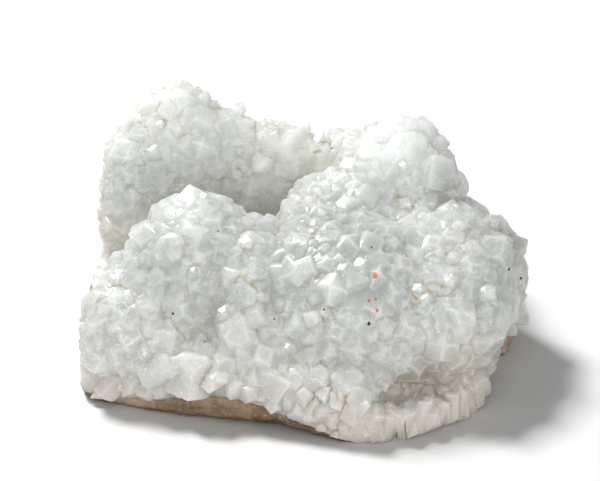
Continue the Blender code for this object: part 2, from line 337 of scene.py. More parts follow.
@dataclass
class RindSurface:
    """The upper surface of the host rock, which the crystals stand on."""

    depth: float = 3.0
    bumps: tuple[tuple[Pair, float, float], ...] = (
        ((-12, -38), 18, 2.4),
        ((30, -42), 20, -6.5),
        ((60, -3), 11, 4.5),
        ((-54, -30), 10, -1.0),
        ((-22, -36), 15, 2.6),
    )
    left: Triple = (-53.5, -56.0, 26.0)
    left_run: tuple[float, float, float, float] = (-20, -13, 6, 13)
    back: Triple = (40.5, 42.5, 60.0)
    reach: Triple = (75.0, 60.0, 120.0)
    step: float = 1.5
    wave: float = 0.7
    wave_length: float = 5.0

    def height(self, x: float, y: float) -> float:
        """Finds the height of the surface.

        Args:
            x: The place to the right, in millimetres.
            y: The place away from the front.

        Returns:
            The height over that place.
        """
        height = self.depth
        for (middle_x, middle_y), reach, rise in self.bumps:
            away = math.hypot(x - middle_x, y - middle_y) / reach
            height += rise * math.exp(-away * away)
        inner, outer, rise = self.left
        start, full, fading, end = self.left_run
        height += rise * climb(x, inner, outer) * climb(y, start, full) * climb(y, end, fading)
        inner, outer, rise = self.back
        return height + rise * climb(y, inner, outer)

    def space_above(self, name: str, lift: float = 0.0) -> Object:
        """Models the space above the surface.

        Args:
            name: The form's name.
            lift: How far it is raised, in millimetres.

        Returns:
            The closed form, up to the roof of the room.
        """
        wide, deep, roof = self.reach
        form = bmesh.new()
        lines_x, lines_y = round(2 * wide / self.step), round(2 * deep / self.step)
        place = Matrix.Diagonal((2 * wide, 2 * deep, 1, 1))
        bmesh.ops.create_grid(form, x_segments=lines_x, y_segments=lines_y, size=0.5, matrix=place)
        for vert in form.verts:
            x, y = vert.co.x, vert.co.y
            wave = self.wave * noise(Vector((x, y, 0)) / self.wave_length)
            vert.co.z = self.height(x, y) + wave + lift
        bmesh.ops.triangulate(form, faces=form.faces[:])
        top = bmesh.ops.extrude_face_region(form, geom=form.faces[:])
        for vert in top["geom"]:
            if isinstance(vert, bmesh.types.BMVert):
                vert.co.z = roof
        bmesh.ops.recalc_face_normals(form, faces=form.faces[:])
        bmesh.ops.scale(form, vec=(MM, MM, MM), verts=form.verts[:])
        mesh = bpy.data.meshes.new(name)
        form.to_mesh(mesh)
        form.free()
        return new_object(name, mesh)


@dataclass
class Body:
    """The mass under the crystals: lumps run together, broken off and roughened."""

    lumps: dict[str, Lump] = field(default_factory=lambda: {
        "wall_peak": ((-35, 37, 30), (18, 10, 31), 6),
        "wall_end": ((-49, 33, 27), (10, 12, 22), 0),
        "knob": ((27, 20, 38), (14, 13, 19), 0),
        "knob_back": ((26, 34, 24), (19, 14, 25), 0),
        "shoulder": ((12, 12, 27), (17, 14, 18), -20),
        "bulge": ((38, -2, 22), (20, 24, 19), 0),
        "middle": ((12, -8, 20), (26, 26, 22), 0),
        "hang": ((36, -18, 20), (18, 14, 12), 0),
        "left_mound": ((-28, -3, 24), (17, 16, 22), 0),
        "left_flank": ((-44, -10, 13), (20, 19, 15), 0),
        "front_apron": ((-12, -28, 4), (56, 18, 11.5), -15),
        "ledge": ((31, -33, 1.5), (26, 19, 9.0), 30),
        "floor": ((0, 5, 5), (60, 42, 9), 0),
        "right_foot": ((50, -1, 3), (12, 12, 7.5), 0),
    })
    fillings: dict[str, Lump] = field(default_factory=lambda: {
        "saddle": ((-13, -6, 22), (12, 19, 17), 0),
        "saddle_front": ((-8, -20, 14), (16, 12, 12), 0),
    })
    sheet: Lump = ((-4, 38, 24), (22, 4.5, 24), 13)
    breaks: dict[str, Break] = field(default_factory=lambda: {
        "front_left": Break((-38, -32.0, 2), (-0.25, -0.93, 0.20), 22, 10),
        "front_middle": Break((2, -42.2, 5), (-0.25, -0.93, 0.20), 22, 12),
        "front_right": Break((33, -37.4, 1), (0.48, -0.85, 0.20), 24, 12),
        "left_side": Break((-57, -2, 20), (-0.997, 0.047, 0.04), 60, 60),
        "back": Break((0, 44.5, 30), (0.02, 0.99, 0.05), 80, 60),
        "right_side": Break((59, 0, 3), (0.95, -0.30, -0.05), 20, 6),
        "right_end": Break((48.6, -20, 1), (0.98, -0.05, 0.15), 11, 7),
        "rim": Break((-3, 38, 50.2), (0.22, 0.10, 0.97), 17, 9, 3.0),
        "underside": Break((0, 0, -2), (0, 0.01, -1), 90, 80),
    })
    undercuts: dict[str, Break] = field(default_factory=lambda: {
        "front_left": Break((-33, -33.6, 0.6), (-0.25, -0.93, -0.90), 30, 20),
        "front_middle": Break((-17, -37.2, 1.6), (-0.16, -0.93, -0.90), 11, 20),
        "front_corner": Break((5, -43.9, 1.5), (-0.42, -0.93, -0.90), 14, 20),
        "front_right": Break((33, -41.6, 0.3), (0.48, -0.85, -0.60), 26, 20),
        "right_end": Break((49.6, -22, 0.3), (0.98, -0.05, -0.50), 16, 20),
    })
    break_depth: float = 30
    hollow: Lump = ((28.2, -35.6, 8.3), (11.5, 6.8, 4.5), 38)
    hollow_rim: float = 1.4
    coarse: tuple[float, int] = (2.6, 8)
    fine: tuple[float, int] = (1.8, 2)
    roughness: float = 0.8
    rough_length: float = 7.0
    kept_share: float = 0.03

    @staticmethod
    def lump(name: str, centre: Triple, radii: Triple, turn: float) -> Object:
        """Models one ellipsoid.

        Args:
            name: The object's name.
            centre: Its middle, in millimetres.
            radii: Its three radii, in millimetres.
            turn: Its turn about Z, in degrees.

        Returns:
            The ellipsoid, with its place in its mesh.
        """
        deselect_all()
        bpy.ops.mesh.primitive_uv_sphere_add(segments=BALL_SIDES, ring_count=BALL_SIDES // 2, radius=1.0)
        ball = bpy.context.object
        ball.name = name
        ball.location = Vector(centre) * MM
        ball.scale = Vector(radii) * MM
        ball.rotation_euler.z = math.radians(turn)
        return apply_placement(ball)

    def upright_sheet(self) -> Object:
        """Models the thin sheet that the wall runs out into.

        Returns:
            The sheet, with its place in its mesh.
        """
        centre, half, slope = self.sheet
        block = new_block(2.0)
        block.location = Vector(centre) * MM
        block.scale = Vector(half) * MM
        block.rotation_euler.y = math.radians(slope)
        return apply_placement(block)

    def break_block(self, face: Break) -> Object:
        """Models what a broken face took off.

        Args:
            face: The broken face.

        Returns:
            The block lying outside it.
        """
        block = new_block(2.0)
        outward = Vector(face.facing).normalized()
        turn = outward.to_track_quat("Y", "Z")
        size = Vector((face.half_width, self.break_depth / 2, face.half_height)) * MM
        centre = Vector(face.middle) * MM + outward * self.break_depth / 2 * MM
        block.matrix_world = Matrix.LocRotScale(centre, turn, size)
        return apply_placement(block)

    def trim(self, piece: Object) -> None:
        """Undercuts the lower edge of a finished piece along its front."""
        for face in self.undercuts.values():
            combine(piece, "DIFFERENCE", self.break_block(face))

    def form(self) -> Object:
        """Models the body with its fine skin.

        Returns:
            The body as one closed form.
        """
        parts = [self.lump(name, *self.lumps[name]) for name in self.lumps]
        parts.append(self.upright_sheet())
        deselect_all()
        for part in parts:
            part.select_set(True)
        bpy.context.view_layer.objects.active = parts[0]
        bpy.ops.object.join()
        body = bpy.context.object
        reskin(body, *self.coarse)
        for face in self.breaks.values():
            combine(body, "DIFFERENCE", self.break_block(face), Solver.EXACT)
        combine(body, "DIFFERENCE", self.lump("hollow", *self.hollow), Solver.EXACT)
        reskin(body, *self.fine)
        roughen(body, self.roughness, self.rough_length)
        return body

    def filled(self, body: Object) -> Object:
        """Fills the groove between the mounds, which the further crystals grow over.

        Args:
            body: The body with its fine skin.

        Returns:
            A filled copy.
        """
        filled = copy_of(body, "filled_body")
        for name, values in self.fillings.items():
            combine(filled, "UNION", self.lump(name, *values))
        reskin(filled, *self.fine)
        return filled

    def skin(self, body: Object) -> Object:
        """Thins out the body's skin, so that crystals are placed on it faster.

        Args:
            body: The body with its fine skin.

        Returns:
            A copy with few faces.
        """
        skin = copy_of(body, "skin")
        run_modifier(skin, "DECIMATE", ratio=self.kept_share)
        return skin

    def in_hollow(self, point: Vector) -> bool:
        """Tests a place against the hollow and its rim.

        Args:
            point: The place, in millimetres.

        Returns:
            Whether it lies in them.
        """
        centre, radii, _ = self.hollow
        off = point - Vector(centre)
        return math.hypot(off.x / radii[0], off.y / radii[1], off.z / radii[2]) < self.hollow_rim

    def near_break(self, point: Vector, near: float, beyond: float) -> bool:
        """Tests a place against the broken faces.

        Args:
            point: The place, in millimetres.
            near: How far from the face's plane still counts.
            beyond: How far past its upper and lower edge still counts.

        Returns:
            Whether the place belongs to a broken face.
        """
        for face in self.breaks.values():
            outward, beside, above = face.axes()
            off = point - Vector(face.middle)
            level = abs(off.dot(above)) < face.half_height + beyond + face.margin
            close = abs(off.dot(outward)) < near + face.margin
            if level and close and abs(off.dot(beside)) < face.half_width:
                return True
        return False


@dataclass
class Template:
    """A closed form of width one that is modelled once and copied."""

    points: np.ndarray
    faces: list[tuple[int, ...]]
    rims: list[float]
    reach: float

    @staticmethod
    def of(obj: Object, facet: float = 0.03) -> "Template":
        """Reads a modelled object and removes it.

        Args:
            obj: The object, of width one.
            facet: The area from which a face is a facet and not part of a rounded edge.

        Returns:
            The form.
        """
        points = mesh_points(obj.data).astype(float)
        faces = [tuple(face.vertices) for face in obj.data.polygons]
        rims = [float(face.area < facet) for face in obj.data.polygons]
        bpy.data.objects.remove(obj)
        return Template(points, faces, rims, float(np.linalg.norm(points, axis=1).max()))


@dataclass
class Planted:
    """One copy of a template in its place."""

    template: Template
    place: Matrix
    tone: float
    broken: float

    def centre(self) -> Vector:
        """Where the copy stands, in metres."""
        return self.place.translation

    def reach(self) -> float:
        """How far the copy reaches from there, in metres."""
        return self.template.reach * max(self.place.col[i].to_3d().length for i in range(3))

    def points(self) -> np.ndarray:
        """The copy's corners in metres."""
        return self.template.points @ np.array(self.place.to_3x3()).T + np.array(self.place.translation)

    def pull_in(self, low: Vector, high: Vector) -> None:
        """Moves the copy back by as much as it reaches out of a box, but never up.

        Args:
            low: The box's lowest corner, in metres.
            high: Its highest corner.
        """
        points = self.points()
        over = np.maximum(points.max(axis=0) - np.array(high), 0.0)
        under = np.maximum(np.array(low) - points.min(axis=0), 0.0)
        back = under - over
        self.place = Matrix.Translation((back[0], back[1], min(back[2], 0.0))) @ self.place


def cut_by_planes(planes: Iterable[tuple[Triple, Triple]], root: float, tall: float) -> None:
    """Shapes a square prism in edit mode by cutting off what lies beyond each plane.

    Args:
        planes: Point and outward direction of each plane.
        root: How far the prism reaches below the origin.
        tall: Its whole height.
    """
    prism = new_block(1.0)
    prism.scale = (1.0, 1.0, tall)
    prism.location.z = tall / 2 - root
    apply_placement(prism)
    bpy.ops.object.mode_set(mode="EDIT")
    for point, facing in planes:
        bpy.ops.mesh.select_all(action="SELECT")
        bpy.ops.mesh.bisect(plane_co=point, plane_no=facing, use_fill=True, clear_outer=True)


def bevel_all(width: float, segments: int) -> None:
    """Rounds all edges of the form in edit mode and closes the mode.

    Args:
        width: The bevel's width.
        segments: Its number of steps.
    """
    bpy.ops.mesh.select_all(action="SELECT")
    bpy.ops.mesh.remove_doubles(threshold=WELD)
    if segments:
        bpy.ops.mesh.bevel(offset=width, segments=segments, affect="EDGES", clamp_overlap=True)
        bpy.ops.mesh.remove_doubles(threshold=WELD)
    bpy.ops.mesh.normals_make_consistent(inside=False)
    bpy.ops.object.mode_set(mode="OBJECT")


@dataclass
class CrystalForms:
    """The crystal and fragment forms of width one, each modelled once."""

    root: float = 0.75
    edges: tuple[tuple[float, int], ...] = ((0.05, 2), (0.05, 1), (0.0, 0))
    shards: int = 6
    shard_edge: tuple[float, int] = (0.03, 1)
    shard_cuts: int = 9
    shard_reach: Pair = (0.34, 0.48)
    columns: int = 6
    column_sides: int = 5
    column_sway: float = 12.0
    column_slope: float = 0.1
    column_reach: float = 0.34
    column_cuts: int = 2
    column_cut_slope: float = 0.7
    column_tops: Pair = (0.75, 1.0)
    column_root: float = 1.2
    seed: int = 5

    def crystal(self, habit: Habit, rounding: float, steps: int) -> Template:
        """Models one crystal: a square prism cut to a tip by four slanting faces.

        Args:
            habit: Its habit.
            rounding: The width of its rounded edges.
            steps: How many steps round each edge.

        Returns:
            The form, its foot at the origin.
        """
        slope, tip, flat = habit.value
        slant = math.radians(slope)
        planes = []
        for corner in range(4):
            way = math.radians(45 + 90 * corner)
            side = math.sin(slant)
            facing = (math.cos(way) * side, math.sin(way) * side, math.cos(slant))
            planes.append(((0, 0, tip), facing))
        planes.append(((0, 0, flat), (0, 0, 1)))
        cut_by_planes(planes, self.root, tip + self.root)
        bevel_all(rounding, steps)
        return Template.of(bpy.context.object)

    def by_edges(self) -> list[dict[Habit, Template]]:
        """Every habit with well rounded, with rounded and with sharp edges."""
        return [{habit: self.crystal(habit, *edge) for habit in Habit} for edge in self.edges]

    def shard(self, rng: random.Random) -> Template:
        """Models one angular fragment: a block cut by slanting planes all round.

        Args:
            rng: The source of chance.

        Returns:
            The form.
        """
        planes = []
        for _ in range(self.shard_cuts):
            facing = Vector((rng.gauss(0, 1), rng.gauss(0, 1), rng.gauss(0, 1))).normalized()
            planes.append((tuple(facing * rng.uniform(*self.shard_reach)), tuple(facing)))
        cut_by_planes(planes, 0.5, 1.0)
        bevel_all(*self.shard_edge)
        return Template.of(bpy.context.object)

    def column(self, rng: random.Random) -> Template:
        """Models one slender broken column.

        Args:
            rng: The source of chance.

        Returns:
            The form.
        """
        planes = []
        sway, slope, out = self.column_sway, self.column_slope, self.column_reach
        for side in range(self.column_sides):
            way = math.radians(360 // self.column_sides * side + rng.uniform(-sway, sway))
            facing = (math.cos(way), math.sin(way), rng.uniform(-slope, slope))
            planes.append(((facing[0] * out, facing[1] * out, 0), facing))
        slope = self.column_cut_slope
        for _ in range(self.column_cuts):
            facing = (rng.uniform(-slope, slope), rng.uniform(-slope, slope), 1)
            planes.append(((0, 0, rng.uniform(*self.column_tops)), facing))
        cut_by_planes(planes, self.column_root, 2 * self.column_root)
        bevel_all(*self.shard_edge)
        return Template.of(bpy.context.object)


@dataclass
class Site:
    """Where a crystal stands: foot in metres, way it points, width, habit and lift in millimetres."""

    foot: Vector
    normal: Vector
    width: float
    habit: Habit
    lift: float


@dataclass(frozen=True)
class Strewing:
    """How one kind of crystal is strewn over the skin.

    Widths are in millimetres. Spacing and lifts are shares of the width, and lean is the spread of
    the ways that the crystals point.
    """

    tries: int
    widths: Pair
    habits: tuple[str, ...]
    spacing: float
    lifts: Pair
    lean: float


@dataclass
class SkinSampler:
    """Places spread evenly over a mesh."""

    mesh: Mesh
    tree: BVHTree | None = None
    faces: list[tuple[Vector, Vector, Vector, Vector]] = field(default_factory=list)
    areas: list[float] = field(default_factory=list)
    total: float = 0.0

    def __post_init__(self) -> None:
        """Sums up the areas of the mesh's triangles."""
        self.mesh.calc_loop_triangles()
        verts = [v.co.copy() for v in self.mesh.vertices]
        triangles = [tuple(t.vertices) for t in self.mesh.loop_triangles]
        self.tree = BVHTree.FromPolygons(verts, triangles)
        for triangle in triangles:
            first, second, third = (verts[i] for i in triangle)
            across = (second - first).cross(third - first)
            self.total += across.length / 2
            self.areas.append(self.total)
            self.faces.append((first, second, third, across.normalized()))

    def place(self, rng: random.Random) -> tuple[Vector, Vector]:
        """Picks a place on the mesh.

        Args:
            rng: The source of chance.

        Returns:
            The place in metres and the way its face points.
        """
        mark = rng.random() * self.total
        low, high = 0, len(self.areas) - 1
        while low < high:
            middle = (low + high) // 2
            if self.areas[middle] < mark:
                low = middle + 1
            else:
                high = middle
        first, second, third, normal = self.faces[low]
        one, two = rng.random(), rng.random()
        if one + two > 1:
            one, two = 1 - one, 1 - two
        return first + (second - first) * one + (third - first) * two, normal


@dataclass
class Druse:
    """The crystals, grown together on the body.

    The large ones stand where the lines of sight from the viewpoint meet the body. The others fill
    the rest, and smaller ones grow between them, beside them and on the broken faces.
    """

    body: Body
    surface: RindSurface
    low: Vector
    high: Vector
    forms: CrystalForms = field(default_factory=CrystalForms)
    viewpoint: Triple = (0, -389.7, 258.5)
    seen_middle: Triple = (0, 0, 33.5)
    sight_start: int = 360
    sight_steps: int = 140
    large: tuple[tuple[float, float, float, str], ...] = (
        (-32.4, 42.3, 5.0, "pointed"), (-36.4, 40.6, 7.0, "blunt"), (-40.5, 37.9, 7.0, "blunt"),
        (-25.7, 38.5, 5.5, "stubby"), (-23.0, 36.6, 5.0, "stubby"), (-43.5, 36.0, 6.5, "stubby"),
        (-46.8, 33.0, 7.0, "blunt"), (16.8, 28.6, 5.0, "stubby"), (20.8, 31.0, 5.5, "stubby"),
        (25.1, 33.0, 7.5, "blunt"), (30.0, 32.2, 6.0, "stubby"), (34.3, 31.8, 7.0, "table"),
        (38.6, 27.0, 5.5, "block"), (41.6, 22.5, 4.5, "stubby"), (43.4, 16.0, 9.0, "blunt"),
        (47.6, 9.0, 9.5, "table"), (53.8, 8.4, 4.5, "pointed"), (56.2, 6.5, 6.0, "block"),
        (59.0, 2.4, 6.5, "stubby"), (61.0, -0.8, 7.0, "pointed"), (59.2, -6.0, 6.0, "blunt"),
        (60.2, -11.5, 7.0, "blunt"), (61.8, -15.4, 4.5, "pointed"), (60.3, -19.8, 6.5, "blunt"),
        (52.4, -3.1, 12.0, "stubby"), (45.6, -8.5, 9.5, "blunt"), (36.2, -1.8, 8.0, "blunt"),
        (49.7, -19.3, 7.5, "stubby"), (43.0, 4.0, 7.5, "block"), (51.8, -26.3, 7.0, "table"),
        (45.4, -31.0, 8.0, "blunt"), (38.6, -27.5, 9.5, "stubby"), (31.0, -33.0, 9.5, "blunt"),
        (23.5, -31.5, 8.0, "blunt"), (17.0, -37.5, 7.0, "stubby"), (15.0, -32.0, 8.0, "stubby"),
        (15.0, 13.8, 7.5, "stubby"), (3.0, 13.2, 6.0, "block"), (-29.3, 9.8, 8.5, "pointed"),
        (-38.6, 5.2, 7.0, "table"), (-48.0, 0.2, 6.0, "stubby"), (-51.0, -10.5, 6.0, "blunt"),
        (-37.0, -9.5, 9.0, "blunt"), (-32.0, -20.0, 9.0, "blunt"), (-21.0, -21.0, 8.5, "stubby"),
        (-10.0, -8.0, 9.5, "blunt"), (1.5, -9.0, 8.5, "block"), (-4.0, -25.0, 8.5, "stubby"),
        (10.0, -24.0, 8.0, "blunt"), (27.0, -8.0, 9.5, "blunt"), (13.0, -2.0, 9.0, "stubby"),
        (-36.5, -39.0, 7.1, "broken"), (-48.6, -37.1, 7.1, "broken"), (-23.0, -35.5, 8.1, "broken"),
        (-14.5, -34.5, 7.1, "broken"), (-6.8, -39.0, 7.6, "broken"), (1.4, -39.0, 8.1, "broken"),
        (8.1, -44.4, 7.1, "broken"), (0.0, -30.9, 7.1, "broken"), (13.5, -47.1, 7.6, "broken"),
        (20.3, -51.7, 7.1, "broken"), (26.5, -51.0, 7.0, "broken"), (34.0, -48.0, 6.6, "broken"),
        (40.5, -44.0, 7.0, "broken"), (46.0, -42.0, 6.2, "broken"),
    )
    glints: tuple[Triple, ...] = (
        (14.0, 17.4, 6.0), (3.0, 17.2, 4.0), (12.0, -9.0, 3.6), (16.2, -8.6, 4.6), (30.8, -14.6, 3.4),
        (33.6, -16.6, 3.2), (40.2, -11.8, 3.8), (-14.0, -2.4, 4.4), (-18.8, -19.4, 3.6), (-39.4, 24.4, 4.4),
        (-37.2, 31.6, 2.4), (-33.8, 14.8, 3.0), (-36.0, 11.0, 2.6), (-26.6, 9.0, 3.2), (-33.2, 47.0, 2.6),
        (49.6, -15.0, 4.6), (60.2, -5.0, 4.0), (41.6, 6.4, 2.6), (45.6, 11.2, 2.4), (-46.0, -16.0, 2.4),
        (-29.0, -8.0, 2.6), (22.0, 26.0, 2.8), (28.0, 20.0, 2.4), (4.0, 2.0, 2.4), (-3.0, -29.0, 2.6),
    )
    ledge: tuple[Pair, ...] = (
        (13.5, -44.4), (18.1, -45.4), (24.5, -45.9), (28.4, -45.0), (33.6, -42.9), (37.7, -40.3),
        (41.9, -36.4), (46.1, -32.4), (49.1, -29.2),
    )
    ledge_spacing: float = 1.5
    ledge_widths: tuple[Pair, Pair] = ((3.2, 5.6), (3.6, 6.0))
    ledge_depths: Pair = (2.2, 4.4)
    ledge_depth_sway: Pair = (-0.5, 0.8)
    ledge_height: float = 8.2
    ledge_height_sway: Pair = (-2.0, 1.2)
    ledge_sinking: Pair = (0.85, 0.4)
    ledge_lean: float = 0.20
    rust_grains: tuple[Triple, ...] = (
        (20.3, -9.3, 1.3), (18.6, -16.1, 0.8), (20.5, -15.8, 0.7), (20.8, -18.8, 0.8), (28.6, -4.2, 0.7),
    )
    dark_grains: tuple[Triple, ...] = (
        (18.6, -22.3, 0.9), (-34.3, -19.6, 0.65), (56.4, -7.7, 0.7), (59.6, -10.1, 0.7), (19.4, -1.8, 0.5),
        (6.5, -18.5, 0.5), (-7.0, -21.2, 0.5), (-22.1, 2.6, 0.4), (-25.7, -27.4, 0.4),
    )
    glint_lift: float = 2.4
    glint_lean: float = 0.02
    shine: Triple = (-0.275, -0.32, 0.906)
    least_lift: float = -0.10
    most_lift: float = 0.30
    broken_lift: float = -0.26
    least_side: float = 0.82
    large_lean: float = 0.05
    seed: int = 11
    filling: Strewing = Strewing(9000, (7.0, 9.5), HIGH_HABITS, 0.92, (-0.22, 0.0), 0.12)
    small: Strewing = Strewing(16000, (6.0, 10.0), LOW_HABITS, 0.40, (-0.20, -0.04), 0.28)
    fine: Strewing = Strewing(9000, (2.2, 3.8), HIGH_HABITS, 0.75, (0.30, 0.70), 0.5)
    fragments: Strewing = Strewing(9000, (3.0, 7.5), ("broken",), 0.48, (-0.25, 0.0), 0.12)
    twins: tuple[int, ...] = (0, 1, 1, 2)
    twin_away: Pair = (0.22, 0.42)
    twin_rise: Pair = (-0.10, 0.06)
    twin_sizes: Pair = (0.50, 0.80)
    bare_strip: float = 4.5
    bare_strip_right: float = 8.0
    bare_from: float = 44
    break_near: float = 0.4
    break_beyond: float = 0.1
    crust_length: float = 12.0
    crust_level: float = 30.0
    crust_climb: float = 60.0
    rim_from: float = 38.0
    rim_scale: float = 0.55
    fragment_rise: float = 0.1
    smooth_angle: float = 47.0
    guide_rounds: int = 8
    guide_corners: int = 4
    calm_whole: float = 0.55
    calm_broken: float = 0.30

    def sight(self, across: float, up: float) -> tuple[Vector, Vector]:
        """Finds the line of sight through a place on the upright plane.

        Args:
            across: The place to the right of the middle, in millimetres.
            up: The place above the middle.

        Returns:
            The viewpoint and the direction from it.
        """
        eye = Vector(self.viewpoint) * MM
        ahead = (Vector(self.seen_middle) * MM - eye).normalized()
        right = ahead.cross(Vector((0, 0, 1))).normalized()
        above = right.cross(ahead)
        target = Vector(self.seen_middle) * MM + right * across * MM + above * up * MM
        return eye, (target - eye).normalized()

    def nearest_to_sight(self, tree: BVHTree, eye: Vector, way: Vector) -> tuple[Vector, Vector, float]:
        """Finds the place that a line of sight meets or passes nearest.

        Args:
            tree: The faces that are looked at.
            eye: The viewpoint.
            way: The direction from it.

        Returns:
            The place, the way its face points and how far the line misses it, in metres.
        """
        hit, normal, _, _ = tree.ray_cast(eye, way)
        if hit is not None:
            return hit, normal, 0.0
        best = None
        for step in range(self.sight_steps):
            at = eye + way * (self.sight_start + step) * MM
            near, normal, _, away = tree.find_nearest(at)
            if best is None or away < best[2]:
                best = (near, normal, away)
        return best

    def rock_height(self, point: Vector) -> float:
        """The height of the rock's surface under a place, in millimetres."""
        return max(self.surface.height(point.x, point.y), 0.0)

    def is_bare(self, place: Vector, width: float) -> bool:
        """Tests whether no whole crystal grows at a place.

        Args:
            place: The place, in metres.
            width: The crystal's width, in millimetres.

        Returns:
            Whether it lies on the rind, in the hollow or on a broken face.
        """
        point = place / MM
        strip = self.bare_strip_right if point.x > self.bare_from else self.bare_strip
        if point.z < self.rock_height(point) + strip or self.body.in_hollow(point):
            return True
        return self.body.near_break(point, self.break_near * width, self.break_beyond * width)

    def whole_width(self, place: Vector, width: float) -> float:
        """The width of a whole crystal at a place, which is nought where none grows."""
        return 0.0 if self.is_bare(place, width) else width

    def crust_width(self, place: Vector, width: float) -> float:
        """The width of a fine crystal at a place, which is nought outside their crusts."""
        level = (place.z / MM - self.crust_level) / self.crust_climb
        in_crust = noise(place / (self.crust_length * MM)) + level >= 0.0
        return self.whole_width(place, width) if in_crust else 0.0

    def fragment_width(self, place: Vector, width: float) -> float:
        """Fits a fragment to a place.

        Args:
            place: The place, in metres.
            width: The fragment's width, in millimetres.

        Returns:
            Its width there, which is nought on the rind and where whole crystals grow.
        """
        point = place / MM
        if point.z > self.rim_from or self.body.in_hollow(point):
            width *= self.rim_scale
        on_rock = point.z < self.rock_height(point) + self.fragment_rise * width
        return 0.0 if on_rock or not self.is_bare(place, width) else width

    @staticmethod
    def clear_of(foot: Vector, width: float, sites: Sequence[Site], spacing: float) -> bool:
        """Tests whether a place is far enough from all sites.

        Args:
            foot: The place, in metres.
            width: The crystal's width, in millimetres.
            sites: The other crystals' places.
            spacing: The share of both crystals' half widths that is kept free.

        Returns:
            Whether nothing stands too near.
        """
        for site in sites:
            if (foot - site.foot).length < spacing * (width + site.width) / 2 * MM:
                return False
        return True

    def main_sites(self, skin: SkinSampler, rng: random.Random) -> list[Site]:
        """Places the large crystals and those that fill the rest.

        Args:
            skin: The body's skin.
            rng: The source of chance.

        Returns:
            Their places, the large ones first.
        """
        sites = []
        for across, up, width, name in self.large:
            habit = Habit[name.upper()]
            foot, normal, miss = self.nearest_to_sight(skin.tree, *self.sight(across, up))
            lift = miss / MM - self.most_lift * width
            lift = min(max(lift, self.least_lift * width), self.most_lift * width)
            if habit is Habit.BROKEN:
                lift = self.broken_lift * width
            sites.append(Site(foot, normal, width, habit, lift))
        for _ in range(self.filling.tries):
            foot, normal = skin.place(rng)
            width = rng.uniform(*self.filling.widths)
            habit = Habit[rng.choice(self.filling.habits).upper()]
            lift = rng.uniform(*self.filling.lifts) * width
            if self.whole_width(foot, width) and self.clear_of(foot, width, sites, self.filling.spacing):
                sites.append(Site(foot, normal, width, habit, lift))
        return sites

    def strewn(
        self, skin: SkinSampler, kind: Strewing, fit: Callable[[Vector, float], float],
        taken: list[Site], rng: random.Random,
    ) -> list[Site]:
        """Strews one kind of crystal over the skin.

        Args:
            skin: The skin.
            kind: How it is strewn.
            fit: Gives the width that fits a place, or nought.
            taken: Places of crystals that it keeps away from.
            rng: The source of chance.

        Returns:
            The new places.
        """
        sites: list[Site] = []
        for _ in range(kind.tries):
            foot, normal = skin.place(rng)
            width = fit(foot, rng.uniform(*kind.widths))
            if width and self.clear_of(foot, width, taken + sites, kind.spacing):
                name = rng.choice(kind.habits) if len(kind.habits) > 1 else kind.habits[0]
                lift = rng.uniform(*kind.lifts) * width
                sites.append(Site(foot, normal, width, Habit[name.upper()], lift))
        return sites

    def glint_sites(self, skin: SkinSampler) -> list[Site]:
        """Places the crystals whose flat tops catch the light.

        Args:
            skin: The skin of the filled body.

        Returns:
            Their places.
        """
        shine = Vector(self.shine).normalized()
        sites = []
        for across, up, width in self.glints:
            foot, normal, _ = self.nearest_to_sight(skin.tree, *self.sight(across, up))
            sites.append(Site(foot + normal * self.glint_lift * MM, shine, width, Habit.TABLE, 0.0))
        return sites

    def place(self, site: Site, rng: random.Random, lean: float) -> Matrix:
        """Leans and turns a crystal at random in its place.

        Args:
            site: Its place.
            rng: The source of chance.
            lean: How far it leans.

        Returns:
            Where its form goes.
        """
        sway = Vector((rng.gauss(0, lean), rng.gauss(0, lean), rng.gauss(0, lean)))
        way = (site.normal + sway).normalized()
        turn = way.to_track_quat("Z", "Y").to_matrix().to_4x4()
        spin = Matrix.Rotation(rng.uniform(0, math.pi / 2), 4, "Z")
        side = site.width * rng.uniform(self.least_side, 1.0)
        size = Matrix.Diagonal((site.width * MM, side * MM, site.width * MM, 1))
        return Matrix.Translation(site.foot + way * site.lift * MM) @ turn @ spin @ size

    def stand(
        self, sites: Sequence[Site], forms: dict[Habit, Template], lean: float, rng: random.Random
    ) -> list[Planted]:
        """Puts a crystal in each place.

        Args:
            sites: The places.
            forms: The form of each habit.
            lean: How far the crystals lean.
            rng: The source of chance.

        Returns:
            The copies.
        """
        return [
            Planted(forms[site.habit], self.place(site, rng, lean), rng.random(), 0.0) for site in sites
        ]

    def grown(
        self, site: Site, place: Matrix, forms: Sequence[dict[Habit, Template]], rng: random.Random
    ) -> list[Planted]:
        """Puts a main crystal in its place, with up to two more growing out of its sides.

        Args:
            site: Its place and habit.
            place: Where its form goes.
            forms: The well rounded and the rounded form of each habit.
            rng: The source of chance.

        Returns:
            The copies.
        """
        tone = rng.random()
        grown = [Planted(forms[0][site.habit], place, tone, 0.0)]
        for _ in range(rng.choice(self.twins)):
            way = rng.uniform(0, 2 * math.pi)
            out = rng.uniform(*self.twin_away)
            move = (out * math.cos(way), out * math.sin(way), rng.uniform(*self.twin_rise))
            size = Matrix.Scale(rng.uniform(*self.twin_sizes), 4)
            twin_place = place @ Matrix.Translation(move) @ size
            grown.append(Planted(forms[1][site.habit], twin_place, tone, 0.0))
        return grown

